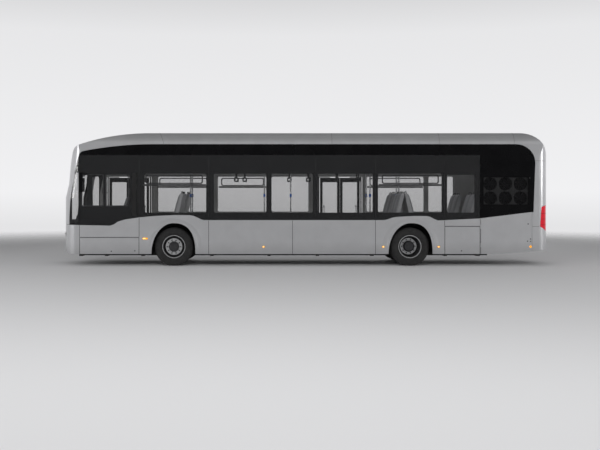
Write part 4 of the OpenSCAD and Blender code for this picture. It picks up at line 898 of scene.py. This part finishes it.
# Roof units: front and rear end as shares of the length, half width, top
UNITS = [(0.2241, 0.389, 0.820, 3.290), (0.3972, 0.5702, 0.820, 3.290), (0.5785, 0.7268, 0.820, 3.290),
         (0.7416, 0.9065, 0.780, 3.315)]
b, grilles = Build(), Build()
for k, (u0, u1, half, top) in enumerate(UNITS):
    x0, x1 = FX + u0 * LENGTH, FX + u1 * LENGTH
    for s in (-1, 1):
        for i in range(3):
            xa = x0 + (x1 - x0) * (i + 0.12) / 3
            xb = x0 + (x1 - x0) * (i + 0.88) / 3
            for j in range(6):
                z = 3.10 + 0.028 * j
                grilles.box((xa, xb), (s * half - 0.004, s * half + 0.004), (z, z + 0.012))
    if k < 3:
        for i in range(2):
            xa, xb = x0 + (x1 - x0) * (0.02 + 0.5 * i), x0 + (x1 - x0) * (0.48 + 0.5 * i)
            b.box((xa, xb), (-half + 0.09, half - 0.09), (top - 0.001, top + 0.012))
            for y in (-half + 0.15, half - 0.15):
                for x in (xa + 0.10, xb - 0.10):
                    grilles.box((x - 0.035, x + 0.035), (y - 0.012, y + 0.012),
                                (top + 0.0118, top + 0.020))
    else:
        b.box((x0 + 0.05, x1 - 0.05), (-half + 0.09, half - 0.09), (top - 0.001, top + 0.010))
        for i in range(3):
            x = x0 + (x1 - x0) * (i + 0.5) / 3
            for y in (-0.33, 0.33):
                for r in (0.055, 0.10, 0.145, 0.19, 0.235):
                    hoop = [(r - 0.004, 0.0), (r - 0.004, 0.008), (r + 0.004, 0.008), (r + 0.004, 0.0)]
                    grilles.revolve(hoop, (x, y, top + 0.0098), (0, 0, 1), 40)
                for a in range(6):
                    t = math.radians(60 * a)
                    grilles.tube([(x + r * math.cos(t), y + r * math.sin(t), top + 0.014)
                                  for r in (0.03, 0.238)], 0.004, 6)
b.done("roof_lids", ROOF, bevel=0.005)
grilles.done("roof_grilles", MATT, angle=30)
BRIDGE = ((0, 3.035), (0, 3.11), (0.03, 3.13), (0.42, 3.13), (0.45, 3.11), (0.45, 3.035))
b = Build()
for s in (-1, 1):
    for x in (FX + 2.75, FX + 5.6, FX + 8.4):
        b.tube([(x + dx, s * 0.90, z) for dx, z in BRIDGE], 0.014, 10)
    b.tube([(FX + 2.62, s * 0.868, 3.06), (RX - 1.05, s * 0.868, 3.06)], 0.022, 10)
b.done("roof_conduits", CHASSIS)
# joints between the fairing's lengths: x at its upper and lower edge
b = Build()
r = FAIRING_R + 0.0003
for s in (-1, 1):
    for top, low in ((-3.640, -3.507), (0.683, 0.683), (3.357, 3.357), (5.223, 5.223)):
        pts = [(low, s * (FAIRING_Y + 0.0002), FAIRING_Z + 0.002)]
        for i in range(13):
            a = math.radians(7 * i)
            x = low + (top - low) * i / 12
            y = FAIRING_Y - FAIRING_R + r * math.cos(a)
            pts.append((x, s * y, ROOF_Z - FAIRING_R + r * math.sin(a)))
        b.tube(pts, 0.0022, 6)
b.done("fairing_joints", RUBBER)

# Mirrors
b, glass = Build(), Build()
FOOT = ((-1, -0.7), (1.6, -0.7), (1.6, 0.7), (-1, 0.7))
for s in (-1, 1):
    x, z = MIRROR_X, MIRROR_Z + ARM_RISE
    b.tube([(x + 0.020, s * (WALL - 0.002), z), (x + 0.020, s * (WALL + 0.06), z),
            (x + 0.020, s * (WALL + 0.12), z - 0.010)], [0.024, 0.021, 0.019], 12)
    b.loft([[Vector((x + dx * w, s * (WALL + out), z + dz * w)) for dx, dz in FOOT]
            for w, out in ((0.05, -0.002), (0.042, 0.018))])
    start = len(glass.verts)
    for z0, z1 in ((-0.205, 0.04), (0.055, 0.215)):
        glass.plate(rect(-0.095, 0.095, MIRROR_Z + z0, MIRROR_Z + z1, 0.02), 0, 0.003)
    glass.turn(start, lambda v: Vector((MIRROR_X + 0.0745 + v.y, s * MIRROR_Y + v.x, v.z)))
b.done("mirror_arms", MATT, bevel=0.003)
glass.done("mirror_glass", SILVER, angle=20)
b = Build()
for s in (-1, 1):
    plan = ((-0.0775, -0.080), (-0.0775, 0.1045), (-0.0565, 0.1172), (-0.024, 0.1172),
            (-0.024, 0.1130), (-0.0555, 0.1130), (-0.0735, 0.1025), (-0.0735, -0.080))
    b.loft([[Vector((MIRROR_X + dx, s * (MIRROR_Y + dy), MIRROR_Z + dz)) for dx, dy in plan]
            for dz in (-0.234, 0.234)])
b.done("mirror_covers", PAINT, angle=40, bevel=0.001)

# Stage, light, camera
me = bpy.data.meshes.new("ground")
me.from_pydata([(-60, -60, 0), (60, -60, 0), (60, 60, 0), (-60, 60, 0)], [], [(0, 1, 2, 3)])
ground = bpy.data.objects.new("ground", me)
bpy.context.scene.collection.objects.link(ground)
gm, gt, gp = nodes_of("pale_floor")
gp.inputs["Base Color"].default_value = (0.80, 0.80, 0.81, 1)
gp.inputs["Roughness"].default_value = 0.80
gp.inputs["Specular IOR Level"].default_value = 0.1
# the floor fades into the backdrop away from the bus
place = gt.nodes.new("ShaderNodeTexCoord")
away = gt.nodes.new("ShaderNodeVectorMath")
away.operation = "LENGTH"
fade = gt.nodes.new("ShaderNodeMapRange")
fade.interpolation_type = "SMOOTHSTEP"
fade.inputs["From Min"].default_value = 12.0
fade.inputs["From Max"].default_value = 30.0
clear = gt.nodes.new("ShaderNodeBsdfTransparent")
mix = gt.nodes.new("ShaderNodeMixShader")
gt.links.new(place.outputs["Object"], away.inputs[0])
gt.links.new(away.outputs["Value"], fade.inputs["Value"])
gt.links.new(fade.outputs["Result"], mix.inputs["Fac"])
gt.links.new(gp.outputs["BSDF"], mix.inputs[1])
gt.links.new(clear.outputs["BSDF"], mix.inputs[2])
gt.links.new(mix.outputs["Shader"], gt.nodes["Material Output"].inputs["Surface"])
ground.data.materials.append(gm)

# bright near the horizon, dim overhead
world = bpy.data.worlds.new("studio")
world.use_nodes = True
bpy.context.scene.world = world
wt = world.node_tree
bg = wt.nodes["Background"]
way = wt.nodes.new("ShaderNodeTexCoord")
axes = wt.nodes.new("ShaderNodeSeparateXYZ")
span = wt.nodes.new("ShaderNodeMapRange")
span.inputs["From Min"].default_value = -0.25
span.inputs["From Max"].default_value = 1.0
sky = wt.nodes.new("ShaderNodeValToRGB")
SKY = ((0.0, 0.70), (0.18, 0.78), (0.21, 0.88), (0.36, 0.80), (0.46, 0.45), (0.62, 0.18), (1.0, 0.07))
while len(sky.color_ramp.elements) < len(SKY):
    sky.color_ramp.elements.new(0.5)
for e, (at, v) in zip(sky.color_ramp.elements, SKY):
    e.position = at
    e.color = (v, v, v * 1.015, 1)
wt.links.new(way.outputs["Generated"], axes.inputs["Vector"])
wt.links.new(axes.outputs["Z"], span.inputs["Value"])
wt.links.new(span.outputs["Result"], sky.inputs["Fac"])
wt.links.new(sky.outputs["Color"], bg.inputs["Color"])
# the hall behind the camera is dimmer than the backdrop, as the glass in the photograph shows
dim = wt.nodes.new("ShaderNodeMapRange")
dim.inputs["From Min"].default_value = -0.7
dim.inputs["From Max"].default_value = 0.1
dim.inputs["To Min"].default_value = 0.35
seen = wt.nodes.new("ShaderNodeLightPath")
level = wt.nodes.new("ShaderNodeMath")
level.operation = "MAXIMUM"
wt.links.new(axes.outputs["Y"], dim.inputs["Value"])
wt.links.new(dim.outputs["Result"], level.inputs[0])
wt.links.new(seen.outputs["Is Camera Ray"], level.inputs[1])
wt.links.new(level.outputs["Value"], bg.inputs["Strength"])


def area(name, place, target, size, power):
    """Softbox that faces target; power in watts."""
    lamp = bpy.data.lights.new(name, "AREA")
    lamp.shape = "RECTANGLE"
    lamp.size, lamp.size_y = size
    lamp.energy = power
    o = bpy.data.objects.new(name, lamp)
    bpy.context.scene.collection.objects.link(o)
    o.location = place
    o.rotation_euler = (Vector(target) - Vector(place)).to_track_quat("-Z", "Y").to_euler()
    return o


top = area("top_softbox", (0, -3, 9), (0, 0, 1.5), (16, 5), 120)
side = area("side_softbox", (-2, -19, 9), (0, 0, 1.2), (22, 6), 1700)
area("front_softbox", (-15, -9, 4), (-5.5, -1.0, 1.2), (3, 4), 260)
area("rear_softbox", (15, -9, 4), (5.5, -1.0, 1.6), (3, 4), 320)
far = area("far_softbox", (2, 13, 7), (0, 0, 1.6), (14, 5), 350)
# the paint mirrors the hall, not these three lamps
for lamp in (top, side, far):
    lamp.visible_glossy = False

# the photograph's viewpoint: level, square to the left side, with a shifted lens
cam = bpy.data.cameras.new("camera")
cam.lens = 49.3
cam.sensor_width = 36
cam.shift_x = 0.0467
cam.shift_y = -0.0367
eye = bpy.data.objects.new("camera", cam)
eye.location = (-0.81, -21.7, 1.57)
eye.rotation_euler = (math.radians(90), 0, 0)
bpy.context.scene.collection.objects.link(eye)
bpy.context.scene.camera = eye
bpy.context.scene.view_settings.view_transform = "Standard"
